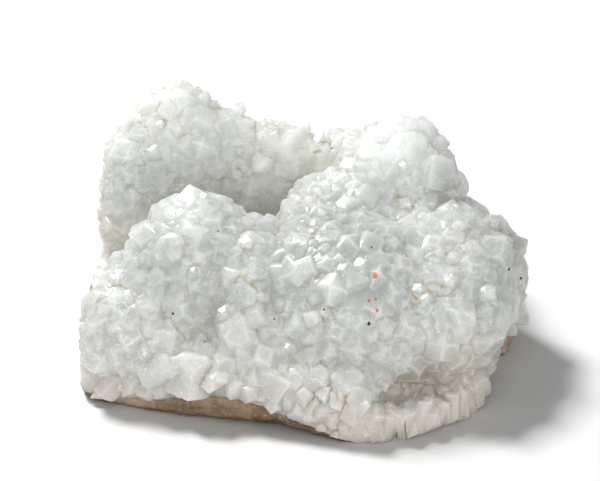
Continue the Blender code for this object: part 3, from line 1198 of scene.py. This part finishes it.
    def grains(self, planted: Sequence[Planted], form: Template) -> list[Planted]:
        """Puts rusty and dark mineral grains on the crystals.

        Args:
            planted: The crystals.
            form: The grains' form.

        Returns:
            The grains, where lines of sight first meet a crystal.
        """
        points, faces = [], []
        for item in planted:
            start = len(points)
            points.extend(item.points().tolist())
            faces.extend(tuple(start + corner for corner in face) for face in item.template.faces)
        tree = BVHTree.FromPolygons(points, faces)
        grains = []
        for mark, places in ((Mark.RUST, self.rust_grains), (Mark.DARK, self.dark_grains)):
            for across, up, width in places:
                foot, _, _ = self.nearest_to_sight(tree, *self.sight(across, up))
                place = Matrix.Translation(foot) @ Matrix.Scale(width * MM, 4)
                grains.append(Planted(form, place, mark.value, 0.0))
        return grains

    def ledge_crust(self, shards: Sequence[Template], rng: random.Random) -> list[Planted]:
        """Stands broken columns along the front of the ledge, with lumps behind them.

        Args:
            shards: The lumps' forms.
            rng: The source of chance.

        Returns:
            The copies.
        """
        crust = []
        columns = [self.forms.column(rng) for _ in range(self.forms.columns)]
        for row, (widths, depth, sinking) in enumerate(
            zip(self.ledge_widths, self.ledge_depths, self.ledge_sinking)
        ):
            for (x0, y0), (x1, y1) in zip(self.ledge, self.ledge[1:]):
                length = math.hypot(x1 - x0, y1 - y0)
                inward = Vector((-(y1 - y0), x1 - x0, 0)) / length
                for step in range(round(length / self.ledge_spacing)):
                    share = (step + rng.random()) * self.ledge_spacing / length
                    foot = Vector((x0 + (x1 - x0) * share, y0 + (y1 - y0) * share, 0))
                    foot += inward * (depth + rng.uniform(*self.ledge_depth_sway))
                    width = rng.uniform(*widths)
                    top = self.ledge_height + rng.uniform(*self.ledge_height_sway)
                    foot.z = top - sinking * width
                    if row:
                        lean = [rng.uniform(0, math.pi) for _ in range(3)]
                    else:
                        lean = [rng.gauss(0, self.ledge_lean) for _ in range(2)]
                        lean.append(rng.uniform(0, math.pi))
                    form = rng.choice(shards if row else columns)
                    turn = Euler(lean).to_matrix().to_4x4()
                    place = Matrix.Translation(foot * MM) @ turn @ Matrix.Scale(width * MM, 4)
                    crust.append(Planted(form, place, rng.random(), 1.0))
        return crust

    def fragment_pieces(
        self, skin: SkinSampler, shards: Sequence[Template], rng: random.Random
    ) -> list[Planted]:
        """Strews fragments over the broken faces.

        Args:
            skin: The body's skin.
            shards: The fragments' forms.
            rng: The source of chance.

        Returns:
            The copies.
        """
        pieces = []
        for site in self.strewn(skin, self.fragments, self.fragment_width, [], rng):
            angle = rng.uniform(0, math.pi)
            turn = Matrix.Rotation(angle, 4, Vector((rng.random(), rng.random(), rng.random())))
            form = rng.choice(shards)
            place = self.place(site, rng, self.fragments.lean) @ turn
            pieces.append(Planted(form, place, rng.random(), 1.0))
        return pieces

    def planted(self, skin: SkinSampler, filled: SkinSampler) -> list[Planted]:
        """Puts all crystals and fragments in their places.

        Args:
            skin: The body's skin with few faces.
            filled: The same with its groove filled.

        Returns:
            The copies, the largest kind first.
        """
        main = self.main_sites(skin, random.Random(self.seed))
        leans = [self.large_lean] * len(self.large) + [self.filling.lean] * (len(main) - len(self.large))
        chances = [random.Random(self.seed + 10 + index) for index in range(len(main))]
        places = [self.place(*three) for three in zip(main, chances, leans)]
        rng = random.Random(self.seed + 1)
        forms = self.forms.by_edges()
        _, plain, sharp = forms
        shard_rng = random.Random(self.forms.seed)
        shards = [self.forms.shard(shard_rng) for _ in range(self.forms.shards)]
        planted = []
        for site, place in zip(main, places):
            if site.habit is Habit.BROKEN:
                spin = Matrix.Rotation(rng.uniform(0, math.pi), 4, (0, 0, 1))
                planted.append(Planted(rng.choice(shards), place @ spin, rng.random(), 1.0))
            else:
                planted.extend(self.grown(site, place, forms, rng))
        small = self.strewn(filled, self.small, self.whole_width, main, rng)
        planted.extend(self.stand(small, plain, self.small.lean, rng))
        fine = self.strewn(filled, self.fine, self.crust_width, [], rng)
        planted.extend(self.stand(fine, sharp, self.fine.lean, rng))
        for site in self.glint_sites(filled):
            place = self.place(site, rng, self.glint_lean)
            planted.append(Planted(plain[site.habit], place, Mark.GLINT.value, 0.0))
        planted.extend(self.grains(planted, shards[0]))
        planted.extend(self.ledge_crust(shards, rng))
        broken = self.fragment_pieces(skin, shards, rng)
        planted.extend(broken)
        for item in planted:
            item.pull_in(self.low, self.high)
        counts = (len(main), len(small), len(fine), len(broken))
        LOG.info("%d main, %d further, %d fine crystals and %d fragments", *counts)
        return planted

    @staticmethod
    def batches(planted: Sequence[Planted]) -> list[list[int]]:
        """Sorts the copies into batches in which no copy touches another.

        Args:
            planted: All copies.

        Returns:
            The numbers of the copies in each batch.
        """
        centres = np.array([item.centre() for item in planted])
        reaches = np.array([item.reach() for item in planted])
        batches: list[list[int]] = []
        for index, centre in enumerate(centres):
            for batch in batches:
                away = np.linalg.norm(centres[batch] - centre, axis=1)
                if (away > reaches[batch] + reaches[index]).all():
                    batch.append(index)
                    break
            else:
                batches.append([index])
        return batches

    @staticmethod
    def joined(planted: Sequence[Planted], numbers: Sequence[int]) -> Object:
        """Makes one object of the copies of a batch.

        Args:
            planted: All copies.
            numbers: The numbers of the copies in the batch.

        Returns:
            The object, with each copy's traits on its corners.
        """
        points, faces, traits = [], [], []
        start = 0
        for number in numbers:
            item = planted[number]
            points.append(item.points())
            for face, rim in zip(item.template.faces, item.template.rims):
                faces.append(tuple(start + corner for corner in face))
                traits.extend([(item.tone, item.broken, number + 1.0, rim)] * len(face))
            start += len(item.template.points)
        mesh = bpy.data.meshes.new("batch")
        mesh.from_pydata(np.concatenate(points).tolist(), [], faces)
        add_traits(mesh, np.array(traits))
        return new_object("batch", mesh)

    def calm(self, druse: Object, guide: Object) -> None:
        """Turns the shading of the facets towards the body's, because light spreads inside crystals.

        Args:
            druse: The joined form, with traits on its corners.
            guide: The body, whose shading is taken up and which is used up.
        """
        soften(guide, self.guide_rounds)
        tree = KDTree(len(guide.data.vertices))
        for vert in guide.data.vertices:
            tree.insert(vert.co, vert.index)
        tree.balance()
        outward = read_rows(guide.data.vertex_normals, "vector", 3)
        mesh = druse.data
        near = [[found[1] for found in tree.find_n(vert.co, self.guide_corners)] for vert in mesh.vertices]
        body_normals = outward[np.array(near)].mean(axis=1)
        owner = read_rows(mesh.loops, "vertex_index", 1, np.int32)[:, 0]
        traits = read_rows(mesh.attributes[TRAIT].data, "color", 4)
        own = read_rows(mesh.corner_normals, "vector", 3)
        share = np.where(traits[:, 1] > 0.5, self.calm_broken, self.calm_whole)
        share = np.where(traits[:, 0] > 1.5, 0.0, share)[:, None]
        mixed = own * (1.0 - share) + body_normals[owner] * share
        mixed /= np.linalg.norm(mixed, axis=1)[:, None]
        mesh.normals_split_custom_set(mixed.tolist())
        bpy.data.objects.remove(guide)

    def build(self, body: Object) -> Object:
        """Joins the crystals and the body and cuts them off over the rind.

        Args:
            body: The body with its fine skin.

        Returns:
            The finished form, which is closed.
        """
        druse = self.body.filled(body)
        druse.name = "druse_crystals"
        guide = copy_of(druse, "guide")
        skins = [self.body.skin(body), self.body.skin(druse)]
        planted = self.planted(*[SkinSampler(skin.data) for skin in skins])
        for skin in skins:
            bpy.data.objects.remove(skin)
        add_traits(druse.data, np.tile((0.5, 1.0, 0.0, 0.0), (len(druse.data.loops), 1)))
        for numbers in self.batches(planted):
            combine(druse, "UNION", self.joined(planted, numbers))
        combine(druse, "INTERSECT", self.surface.space_above("space_above_rind"))
        self.body.trim(druse)
        smooth_within_grains(druse, self.smooth_angle)
        self.calm(druse, guide)
        return druse


@dataclass
class Rind:
    """The thin rind of host rock under and behind the crystals."""

    surface: RindSurface
    rise: float = 0.25
    room_middle: Triple = (0, 0, 60.0)
    room_size: Triple = (300.0, 300.0, 120.0)
    fine: tuple[float, int] = (0.9, 1)
    roughness: float = 0.35
    rough_length: float = 3.0

    def build(self, shape: Body, body: Object) -> Object:
        """Models the rind with a rough skin.

        Args:
            shape: The body's sizes.
            body: The body with its fine skin.

        Returns:
            The finished form, which is closed.
        """
        rind = copy_of(body, "host_rock")
        combine(rind, "DIFFERENCE", self.surface.space_above("space_above_gap", self.rise))
        room = new_block(1.0)
        room.location = Vector(self.room_middle) * MM
        room.scale = Vector(self.room_size) * MM
        combine(rind, "INTERSECT", apply_placement(room))
        shape.trim(rind)
        reskin(rind, *self.fine)
        roughen(rind, self.roughness, self.rough_length)
        return rind


@dataclass(frozen=True)
class Coat:
    """One layer of colour over another.

    Its share of the colour runs from one number to the other while its guide runs through a span.
    """

    guide: str
    span: Pair
    share: Pair
    colour: Triple


class NodeKit:
    """The nodes of one material."""

    def __init__(self, name: str) -> None:
        """Starts a material with its Principled shader.

        Args:
            name: The material's name.
        """
        self.material = bpy.data.materials.new(name)
        self.material.use_nodes = True
        self.nodes = self.material.node_tree.nodes
        self.links = self.material.node_tree.links
        self.shader = self.nodes["Principled BSDF"]
        self.place = self.nodes.new("ShaderNodeTexCoord").outputs["Object"]

    def feed(self, socket: Socket, value: Any) -> None:
        """Links an input to a socket or sets it to plain numbers."""
        if isinstance(value, bpy.types.NodeSocket):
            self.links.new(value, socket)
        else:
            socket.default_value = value

    def give(self, name: str, value: Any) -> None:
        """Feeds or sets one input of the shader."""
        self.feed(self.shader.inputs[name], value)

    def add(self, kind: str, feeds: dict[str | int, Any], **settings: Any) -> bpy.types.NodeOutputs:
        """Adds a node.

        Args:
            kind: Its type.
            feeds: What its inputs are fed with or set to.
            **settings: Its options.

        Returns:
            Its outputs.
        """
        node = self.nodes.new(f"ShaderNode{kind}")
        for name, value in settings.items():
            setattr(node, name, value)
        for key, value in feeds.items():
            self.feed(node.inputs[key], value)
        return node.outputs

    def trait(self) -> list[Socket]:
        """The form's four traits: tone, brokenness, number and rim."""
        found = self.add("Attribute", {}, attribute_name=TRAIT)
        return [*self.add("SeparateColor", {0: found["Color"]}), found["Alpha"]]

    def axes(self) -> list[Socket]:
        """The place to the right, away from the front and up, in metres."""
        return list(self.add("SeparateXYZ", {0: self.place}))

    def away(self, middle: Triple) -> Socket:
        """The distance from a place that is given in millimetres."""
        place = [value * MM for value in middle]
        return self.add("VectorMath", {0: self.place, 1: place}, operation="DISTANCE")["Value"]

    def clouds(self, scale: float, detail: float, stretch: Triple = (1.0, 1.0, 1.0)) -> Socket:
        """Makes soft noise around a half.

        Args:
            scale: The waves to a metre.
            detail: How fine the noise goes.
            stretch: How much denser the waves are along each axis.

        Returns:
            The noise.
        """
        at = self.add("Mapping", {"Vector": self.place, "Scale": stretch})["Vector"]
        return self.add("TexNoise", {"Vector": at, "Scale": scale, "Detail": detail})["Fac"]

    def spread(self, value: Socket, start: Pair, end: Pair) -> Socket:
        """Maps one range of numbers to another.

        Args:
            value: What is mapped.
            start: The lower and upper number that it has.
            end: What these two become.

        Returns:
            The mapped value, kept between the two.
        """
        numbers = dict(zip(("From Min", "From Max", "To Min", "To Max"), (*start, *end)))
        return self.add("MapRange", {"Value": value, **numbers})["Result"]

    def blend(self, share: Socket, first: Socket | Triple, second: Socket | Triple) -> Socket:
        """Mixes two colours.

        Args:
            share: The second colour's share.
            first: The first colour, a socket or plain numbers.
            second: The second colour.

        Returns:
            The mixed colour.
        """
        first, second = ((*paint, 1.0) if isinstance(paint, tuple) else paint for paint in (first, second))
        return self.add("Mix", {"Factor": share, 6: first, 7: second}, data_type="RGBA")[2]

    def coated(self, colour: Socket | Triple, guides: dict[str, Socket], coats: Iterable[Coat]) -> Socket:
        """Lays coats over a colour.

        Args:
            colour: The colour underneath.
            guides: What the coats follow, by name.
            coats: The coats, the lowest first.

        Returns:
            The coated colour.
        """
        for coat in coats:
            colour = self.blend(self.spread(guides[coat.guide], coat.span, coat.share), colour, coat.colour)
        return colour

    def contour(self, value: Socket) -> Socket:
        """The distance of a number from a half."""
        off = self.add("Math", {0: value, 1: 0.5}, operation="SUBTRACT")[0]
        return self.add("Math", {0: off}, operation="ABSOLUTE")[0]

    def times(self, first: Socket, second: Socket) -> Socket:
        """The product of two numbers."""
        return self.add("Math", {0: first, 1: second}, operation="MULTIPLY")[0]

    def openness(self, distance: float) -> Socket:
        """One on free skin and nought where a crevice closes within a distance in metres."""
        return self.add("AmbientOcclusion", {"Distance": distance}, samples=8, only_local=True)["AO"]

    def bump(self, height: Socket, strength: float, distance: float) -> None:
        """Roughens the skin by a height, a strength and a depth in metres."""
        relief = {"Strength": strength, "Distance": distance, "Height": height}
        self.give("Normal", self.add("Bump", relief)["Normal"])


@dataclass(frozen=True)
class MilkyCrystal:
    """Milky, slightly green crystal with glossy facets, with painted light and shade in its colour: warmer
    and paler in its hollows.

    Patches have a middle and a reach in millimetres, their share in the middle and their colour.
    Veins have their waves to a metre, their width and their share.
    """

    # painted light: the paler colour that the upper parts fade to, so they read as more lit
    high: Triple = (0.80, 0.83, 0.80)
    # painted light: the paler colour of the back wall, which stands in for light falling on it
    wall: Triple = (0.66, 0.68, 0.635)
    cool: Triple = (0.505, 0.525, 0.50)
    low: Triple = (0.54, 0.53, 0.49)
    # painted light: the paler, warm colour near the bottom, against the shade at the foot
    foot: Triple = (0.64, 0.58, 0.51)
    clear: Triple = (0.46, 0.485, 0.465)
    # painted shade: the darker colour laid over the middle of the specimen
    still: Triple = (0.38, 0.405, 0.385)
    # milky colour of the veils, which is also painted light in the creases
    milk_and_crease_light: Triple = (0.80, 0.815, 0.79)
    warm: Triple = (0.62, 0.56, 0.46)
    # painted light: the paler, warmer colour laid into hollows, against the shade that falls there
    hollow: Triple = (0.94, 0.89, 0.79)
    broken: Triple = (0.62, 0.60, 0.545)
    # pale colour of the lines inside the crystal, and also a painted highlight on the rounded edges
    rim: Triple = (0.92, 0.94, 0.92)
    stain: Triple = (0.46, 0.34, 0.21)
    rust: Triple = (0.62, 0.16, 0.05)
    soot: Triple = (0.012, 0.010, 0.008)
    # painted shade: a dark tan-grey that darkens the cavity and the part under the overhang
    tan: Triple = (0.46, 0.42, 0.36)
    # painted shade: the dark colour laid in the cavity
    painted_cavity_shade: Triple = (0.27, 0.245, 0.20)
    inner_coats: tuple[Coat, ...] = (
        Coat("height", (0.006, 0.030), (0.0, 1.0), cool),
        # Painted light: the crystal turns paler towards the top.
        Coat("height", (0.043, 0.056), (0.0, 1.0), high),
        # Painted light: the back wall is made paler.
        Coat("depth", (0.022, 0.032), (0.0, 1.0), wall),
        Coat("tone", (0.0, 1.0), (0.0, 0.30), clear),
        Coat("veils", (0.45, 0.70), (0.0, 0.35), milk_and_crease_light),
        # Painted light: creases are made paler, against the shade that falls in them.
        Coat("painted_crease_light", (0.85, 0.35), (0.0, 0.6), milk_and_crease_light),
    )
    veins: tuple[Triple, ...] = ((130.0, 0.012, 0.55), (330.0, 0.020, 0.45), (700.0, 0.030, 0.35))
    vein_detail: float = 3.0
    gap_scale: float = 0.7
    gap_detail: float = 1.0
    gap_span: Pair = (0.45, 0.62)
    # The warm patches are stains; the darker ones after them are painted shade.
    patches: tuple[tuple[Triple, float, float, Triple], ...] = (
        ((-55.5, 30.0, 22.0), 17.0, 0.8, warm),
        ((-20.0, -8.0, 30.0), 5.0, 0.45, warm),
        ((-16.0, -24.0, 23.0), 6.0, 0.45, warm),
        ((-24.0, 32.0, 30.0), 16.0, 0.25, warm),
        # Painted shade: the middle of the specimen is made darker.
        ((6.0, -12.0, 38.0), 26.0, 1.0, still),
        # Painted shade: the cavity and the part under the overhang are made darker.
        ((38.5, -31.0, 11.0), 15.0, 1.3, tan),
        ((42.8, -32.5, 6.0), 7.0, 0.6, tan),
        # Painted shade: the cavity is made dark.
        ((25.0, -35.4, 8.0), 8.0, 1.6, painted_cavity_shade),
        ((30.5, -31.6, 9.0), 10.0, 1.6, painted_cavity_shade),
    )
    outer_coats: tuple[Coat, ...] = (
        # Painted light: hollows are made paler and warmer.
        Coat("painted_hollow_light", (0.60, 0.20), (0.0, 0.9), hollow),
        Coat("broken", (0.0, 1.0), (0.0, 0.35), broken),
        # Painted light: the lowest part is made paler and warmer towards the rind.
        Coat("height", (0.012, 0.003), (0.0, 0.8), foot),
        # Painted highlight: the crystals' rounded edges are made paler.
        Coat("rim", (0.0, 1.0), (0.0, 0.17), rim),
    )
    crack: float = 0.0012
    crack_span: Pair = (0.90, 0.60)
    crack_clouds: tuple[tuple[Pair, Pair, Pair], ...] = (
        ((900.0, 2.0), (0.38, 0.58), (0.15, 0.7)),
        ((90.0, 2.0), (0.48, 0.58), (0.0, 1.0)),
    )
    grain_coats: tuple[Coat, ...] = (
        Coat("tone", (2.4, 2.6), (0.0, 1.0), rust),
        Coat("tone", (3.4, 3.6), (0.0, 1.0), soot),
    )
    veil_clouds: Pair = (260.0, 4.0)
    crease_light_reach: float = 0.004
    hollow_light_reach: float = 0.016
    gloss_clouds: Pair = (300.0, 2.0)
    gloss_span: Pair = (0.35, 0.65)
    roughness: Pair = (0.20, 0.42)
    glint_span: Pair = (1.0, 1.5)
    glint_roughness: float = 0.3
    spreading_rise: Pair = (0.004, 0.011)
    spreading: Pair = (0.5, 1.0)
    spreading_colours: Triple = (1.0, 1.0, 0.95)
    spreading_depth: float = 0.014
    transmission: float = 0.15
    ior: float = 1.535
    gloss: float = 0.30
    bump_clouds: Pair = (900.0, 4.0)
    bump: Pair = (0.25, 0.0004)
    absorption: Triple = (0.82, 0.92, 0.88)
    density: float = 20.0

    def veined(self, kit: NodeKit, colour: Socket) -> Socket:
        """Draws fine pale lines inside the crystal.

        Args:
            kit: The material's nodes.
            colour: The colour underneath.

        Returns:
            The colour with its lines.
        """
        for scale, width, share in self.veins:
            lines = kit.spread(kit.contour(kit.clouds(scale, self.vein_detail)), (0.0, width), (share, 0.0))
            gaps = kit.spread(kit.clouds(scale * self.gap_scale, self.gap_detail), self.gap_span, (0.0, 1.0))
            colour = kit.blend(kit.times(lines, gaps), colour, self.rim)
        return colour

    def cracks(self, kit: NodeKit) -> Socket:
        """Finds the cracks between crystals that are stained.

        Args:
            kit: The material's nodes.

        Returns:
            How strongly each place is stained.
        """
        stained = kit.spread(kit.openness(self.crack), self.crack_span, (0.0, 1.0))
        for clouds, span, share in self.crack_clouds:
            stained = kit.times(stained, kit.spread(kit.clouds(*clouds), span, share))
        return stained

    def colour(self, kit: NodeKit, guides: dict[str, Socket]) -> Socket:
        """Builds up the colour.

        Args:
            kit: The material's nodes.
            guides: What the coats follow, by name.

        Returns:
            The colour.
        """
        colour = self.veined(kit, kit.coated(self.low, guides, self.inner_coats))
        for middle, reach, share, paint in self.patches:
            patch = kit.spread(kit.away(middle), (0.0, reach * MM), (share, 0.0))
            colour = kit.blend(patch, colour, paint)
        colour = kit.coated(colour, guides, self.outer_coats)
        colour = kit.blend(self.cracks(kit), colour, self.stain)
        return kit.coated(colour, guides, self.grain_coats)

    def material(self) -> bpy.types.Material:
        """Builds the finish.

        Returns:
            The material.
        """
        kit = NodeKit("milky_apophyllite")
        tone, broken, _, rim = kit.trait()
        _, depth, height = kit.axes()
        guides = {"tone": tone, "broken": broken, "rim": rim, "depth": depth, "height": height}
        guides["veils"] = kit.clouds(*self.veil_clouds)
        # Painted light: how closed a crease is decides how much paler it is made.
        guides["painted_crease_light"] = kit.openness(self.crease_light_reach)
        # Painted light: how closed a hollow is decides how much paler it is made.
        guides["painted_hollow_light"] = kit.openness(self.hollow_light_reach)
        kit.give("Base Color", self.colour(kit, guides))
        rough = kit.spread(kit.clouds(*self.gloss_clouds), self.gloss_span, self.roughness)
        glint = kit.spread(tone, self.glint_span, (1.0, self.glint_roughness))
        kit.give("Roughness", kit.times(rough, glint))
        kit.give("Subsurface Weight", kit.spread(height, self.spreading_rise, self.spreading))
        kit.give("Subsurface Radius", self.spreading_colours)
        kit.give("Subsurface Scale", self.spreading_depth)
        kit.give("Transmission Weight", self.transmission)
        kit.give("IOR", self.ior)
        kit.give("Specular IOR Level", self.gloss)
        kit.bump(kit.clouds(*self.bump_clouds), *self.bump)
        inside = {"Color": (*self.absorption, 1.0), "Density": self.density}
        volume = kit.add("VolumeAbsorption", inside)[0]
        kit.links.new(volume, kit.nodes["Material Output"].inputs["Volume"])
        return kit.material


@dataclass(frozen=True)
class HostRock:
    """Dull tan-brown host rock, paler at its upper left edge and at its right end."""

    pale: Triple = (0.42, 0.33, 0.25)
    light: Triple = (0.20, 0.125, 0.065)
    olive: Triple = (0.30, 0.24, 0.145)
    dark: Triple = (0.07, 0.036, 0.016)
    streaks: tuple[float, float, Triple] = (200.0, 10.0, (0.4, 0.6, 2.0))
    clouds: Pair = (110.0, 8.0)
    grains: Pair = (1100.0, 3.0)
    inner_coats: tuple[Coat, ...] = (
        Coat("streaks", (0.40, 0.60), (0.0, 1.0), light),
        Coat("clouds", (0.48, 0.62), (0.0, 0.8), olive),
        Coat("grains", (0.55, 0.70), (0.0, 0.5), pale),
    )
    upper_rise: tuple[Pair, Pair] = ((0.001, 0.004), (0.2, 1.0))
    upper_clouds: tuple[Pair, Pair] = ((0.35, 0.6), (0.4, 1.0))
    upper_side: tuple[Pair, Pair] = ((-0.025, -0.045), (0.0, 0.8))
    outer_coats: tuple[Coat, ...] = (Coat("across", (0.035, 0.045), (0.0, 0.8), pale),)
    roughness: float = 0.5
    bump_clouds: tuple[float, float, Triple] = (350.0, 9.0, (0.6, 1.0, 1.4))
    bump: Pair = (0.9, 0.0012)

    def material(self) -> bpy.types.Material:
        """Builds the finish.

        Returns:
            The material.
        """
        kit = NodeKit("tan_host_rock")
        across, _, height = kit.axes()
        guides = {"across": across, "streaks": kit.clouds(*self.streaks)}
        guides["clouds"] = kit.clouds(*self.clouds)
        guides["grains"] = kit.clouds(*self.grains)
        colour = kit.coated(self.dark, guides, self.inner_coats)
        upper = kit.spread(height, *self.upper_rise)
        upper = kit.times(upper, kit.spread(guides["clouds"], *self.upper_clouds))
        upper = kit.times(upper, kit.spread(across, *self.upper_side))
        colour = kit.blend(upper, colour, self.pale)
        kit.give("Base Color", kit.coated(colour, guides, self.outer_coats))
        kit.give("Roughness", self.roughness)
        kit.bump(kit.clouds(*self.bump_clouds), *self.bump)
        return kit.material


@dataclass
class Studio:
    """A pale floor, soft light from the upper left and the camera.

    Lamps have their place and size in metres and their power in watts.
    """

    pieces: Sequence[Object]
    elevation: float = 30.0
    distance: float = 450.0
    lens: float = 100.0
    sensor: float = 36.0
    seen_height: float = 33.5
    floor_size: float = 6.0
    floor_colour: Triple = (0.93, 0.93, 0.93)
    floor_roughness: float = 0.9
    key: tuple[Triple, Pair, float] = ((-0.6, 0.56, 1.2), (0.36, 0.36), 22.0)
    fill: tuple[Triple, Pair, float] = ((0.15, -1.0, 0.6), (1.0, 1.0), 11.0)
    air_colour: Triple = (1.0, 1.0, 1.0)
    air_strength: float = 0.30

    def floor(self) -> None:
        """Lays the pale floor."""
        deselect_all()
        bpy.ops.mesh.primitive_plane_add(size=self.floor_size)
        floor = bpy.context.object
        floor.name = "studio_floor"
        finish = bpy.data.materials.new("pale_floor")
        finish.use_nodes = True
        shader = finish.node_tree.nodes["Principled BSDF"]
        shader.inputs["Base Color"].default_value = (*self.floor_colour, 1.0)
        shader.inputs["Roughness"].default_value = self.floor_roughness
        floor.data.materials.append(finish)
        floor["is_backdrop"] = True

    @staticmethod
    def lamp(name: str, place: Triple, size: Pair, power: float) -> Object:
        """Hangs a soft lamp that points at the specimen.

        Args:
            name: The lamp's name.
            place: Where it hangs, in metres.
            size: Its width and height in metres.
            power: Its power in watts.

        Returns:
            The lamp.
        """
        light = bpy.data.lights.new(name, "AREA")
        light.shape = "RECTANGLE"
        light.size, light.size_y = size
        light.energy = power
        lamp = new_object(name, light)
        lamp.location = place
        lamp.rotation_euler = (-Vector(place)).to_track_quat("-Z", "Y").to_euler()
        return lamp

    def light(self) -> None:
        """Lights the pieces, with a fill that leaves the shadow on the floor as dark as it is."""
        self.lamp("key", *self.key)
        fill = self.lamp("front_fill", *self.fill)
        lit = bpy.data.collections.new("lit_by_the_fill")
        for piece in self.pieces:
            lit.objects.link(piece)
        fill.light_linking.receiver_collection = lit
        world = bpy.data.worlds.new("studio_air")
        bpy.context.scene.world = world
        world.use_nodes = True
        air = world.node_tree.nodes["Background"]
        air.inputs["Color"].default_value = (*self.air_colour, 1.0)
        air.inputs["Strength"].default_value = self.air_strength

    def camera(self) -> None:
        """Sets up the camera at the photograph's angle."""
        data = bpy.data.cameras.new("camera")
        data.lens = self.lens
        data.sensor_width = self.sensor
        camera = new_object("camera", data)
        rise = math.radians(self.elevation)
        back = Vector((0, -math.cos(rise), math.sin(rise)))
        target = (Vector(MIDDLE) + Vector((0, 0, self.seen_height))) * MM
        camera.location = target + back * self.distance * MM
        camera.rotation_euler = (-back).to_track_quat("-Z", "Y").to_euler()
        bpy.context.scene.camera = camera

    def build(self) -> None:
        """Sets up the studio."""
        self.floor()
        self.light()
        self.camera()
        bpy.context.scene.view_settings.view_transform = "Standard"


def finish_piece(piece: Object, node: str, finish: bpy.types.Material) -> None:
    """Gives a piece its finish, lets it ride on the body and puts it in its node's place.

    Args:
        piece: The finished form.
        node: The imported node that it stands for.
        finish: Its material.
    """
    piece.data.materials.clear()
    piece.data.materials.append(finish)
    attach(piece, BODY)
    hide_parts(node)
    LOG.info("%s: %d faces", piece.name, len(piece.data.polygons))


def main() -> None:
    """Builds the specimen and the studio."""
    logging.basicConfig(level=logging.INFO, format="%(message)s")
    low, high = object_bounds()
    move = Vector(MIDDLE) * MM
    surface = RindSurface()
    shape = Body()
    body = shape.form()
    druse = Druse(shape, surface, low - move, high - move).build(body)
    rind = Rind(surface).build(shape, body)
    bpy.data.objects.remove(body)
    for piece in (druse, rind):
        piece.data.transform(Matrix.Translation(move))
        keep_in_box(piece, low, high)
    activate(rind)
    bpy.ops.object.shade_smooth()
    finish_piece(druse, DRUSE_NODE, MilkyCrystal().material())
    finish_piece(rind, RIND_NODE, HostRock().material())
    Studio((druse, rind)).build()
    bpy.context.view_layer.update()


if __name__ == "__main__":
    main()
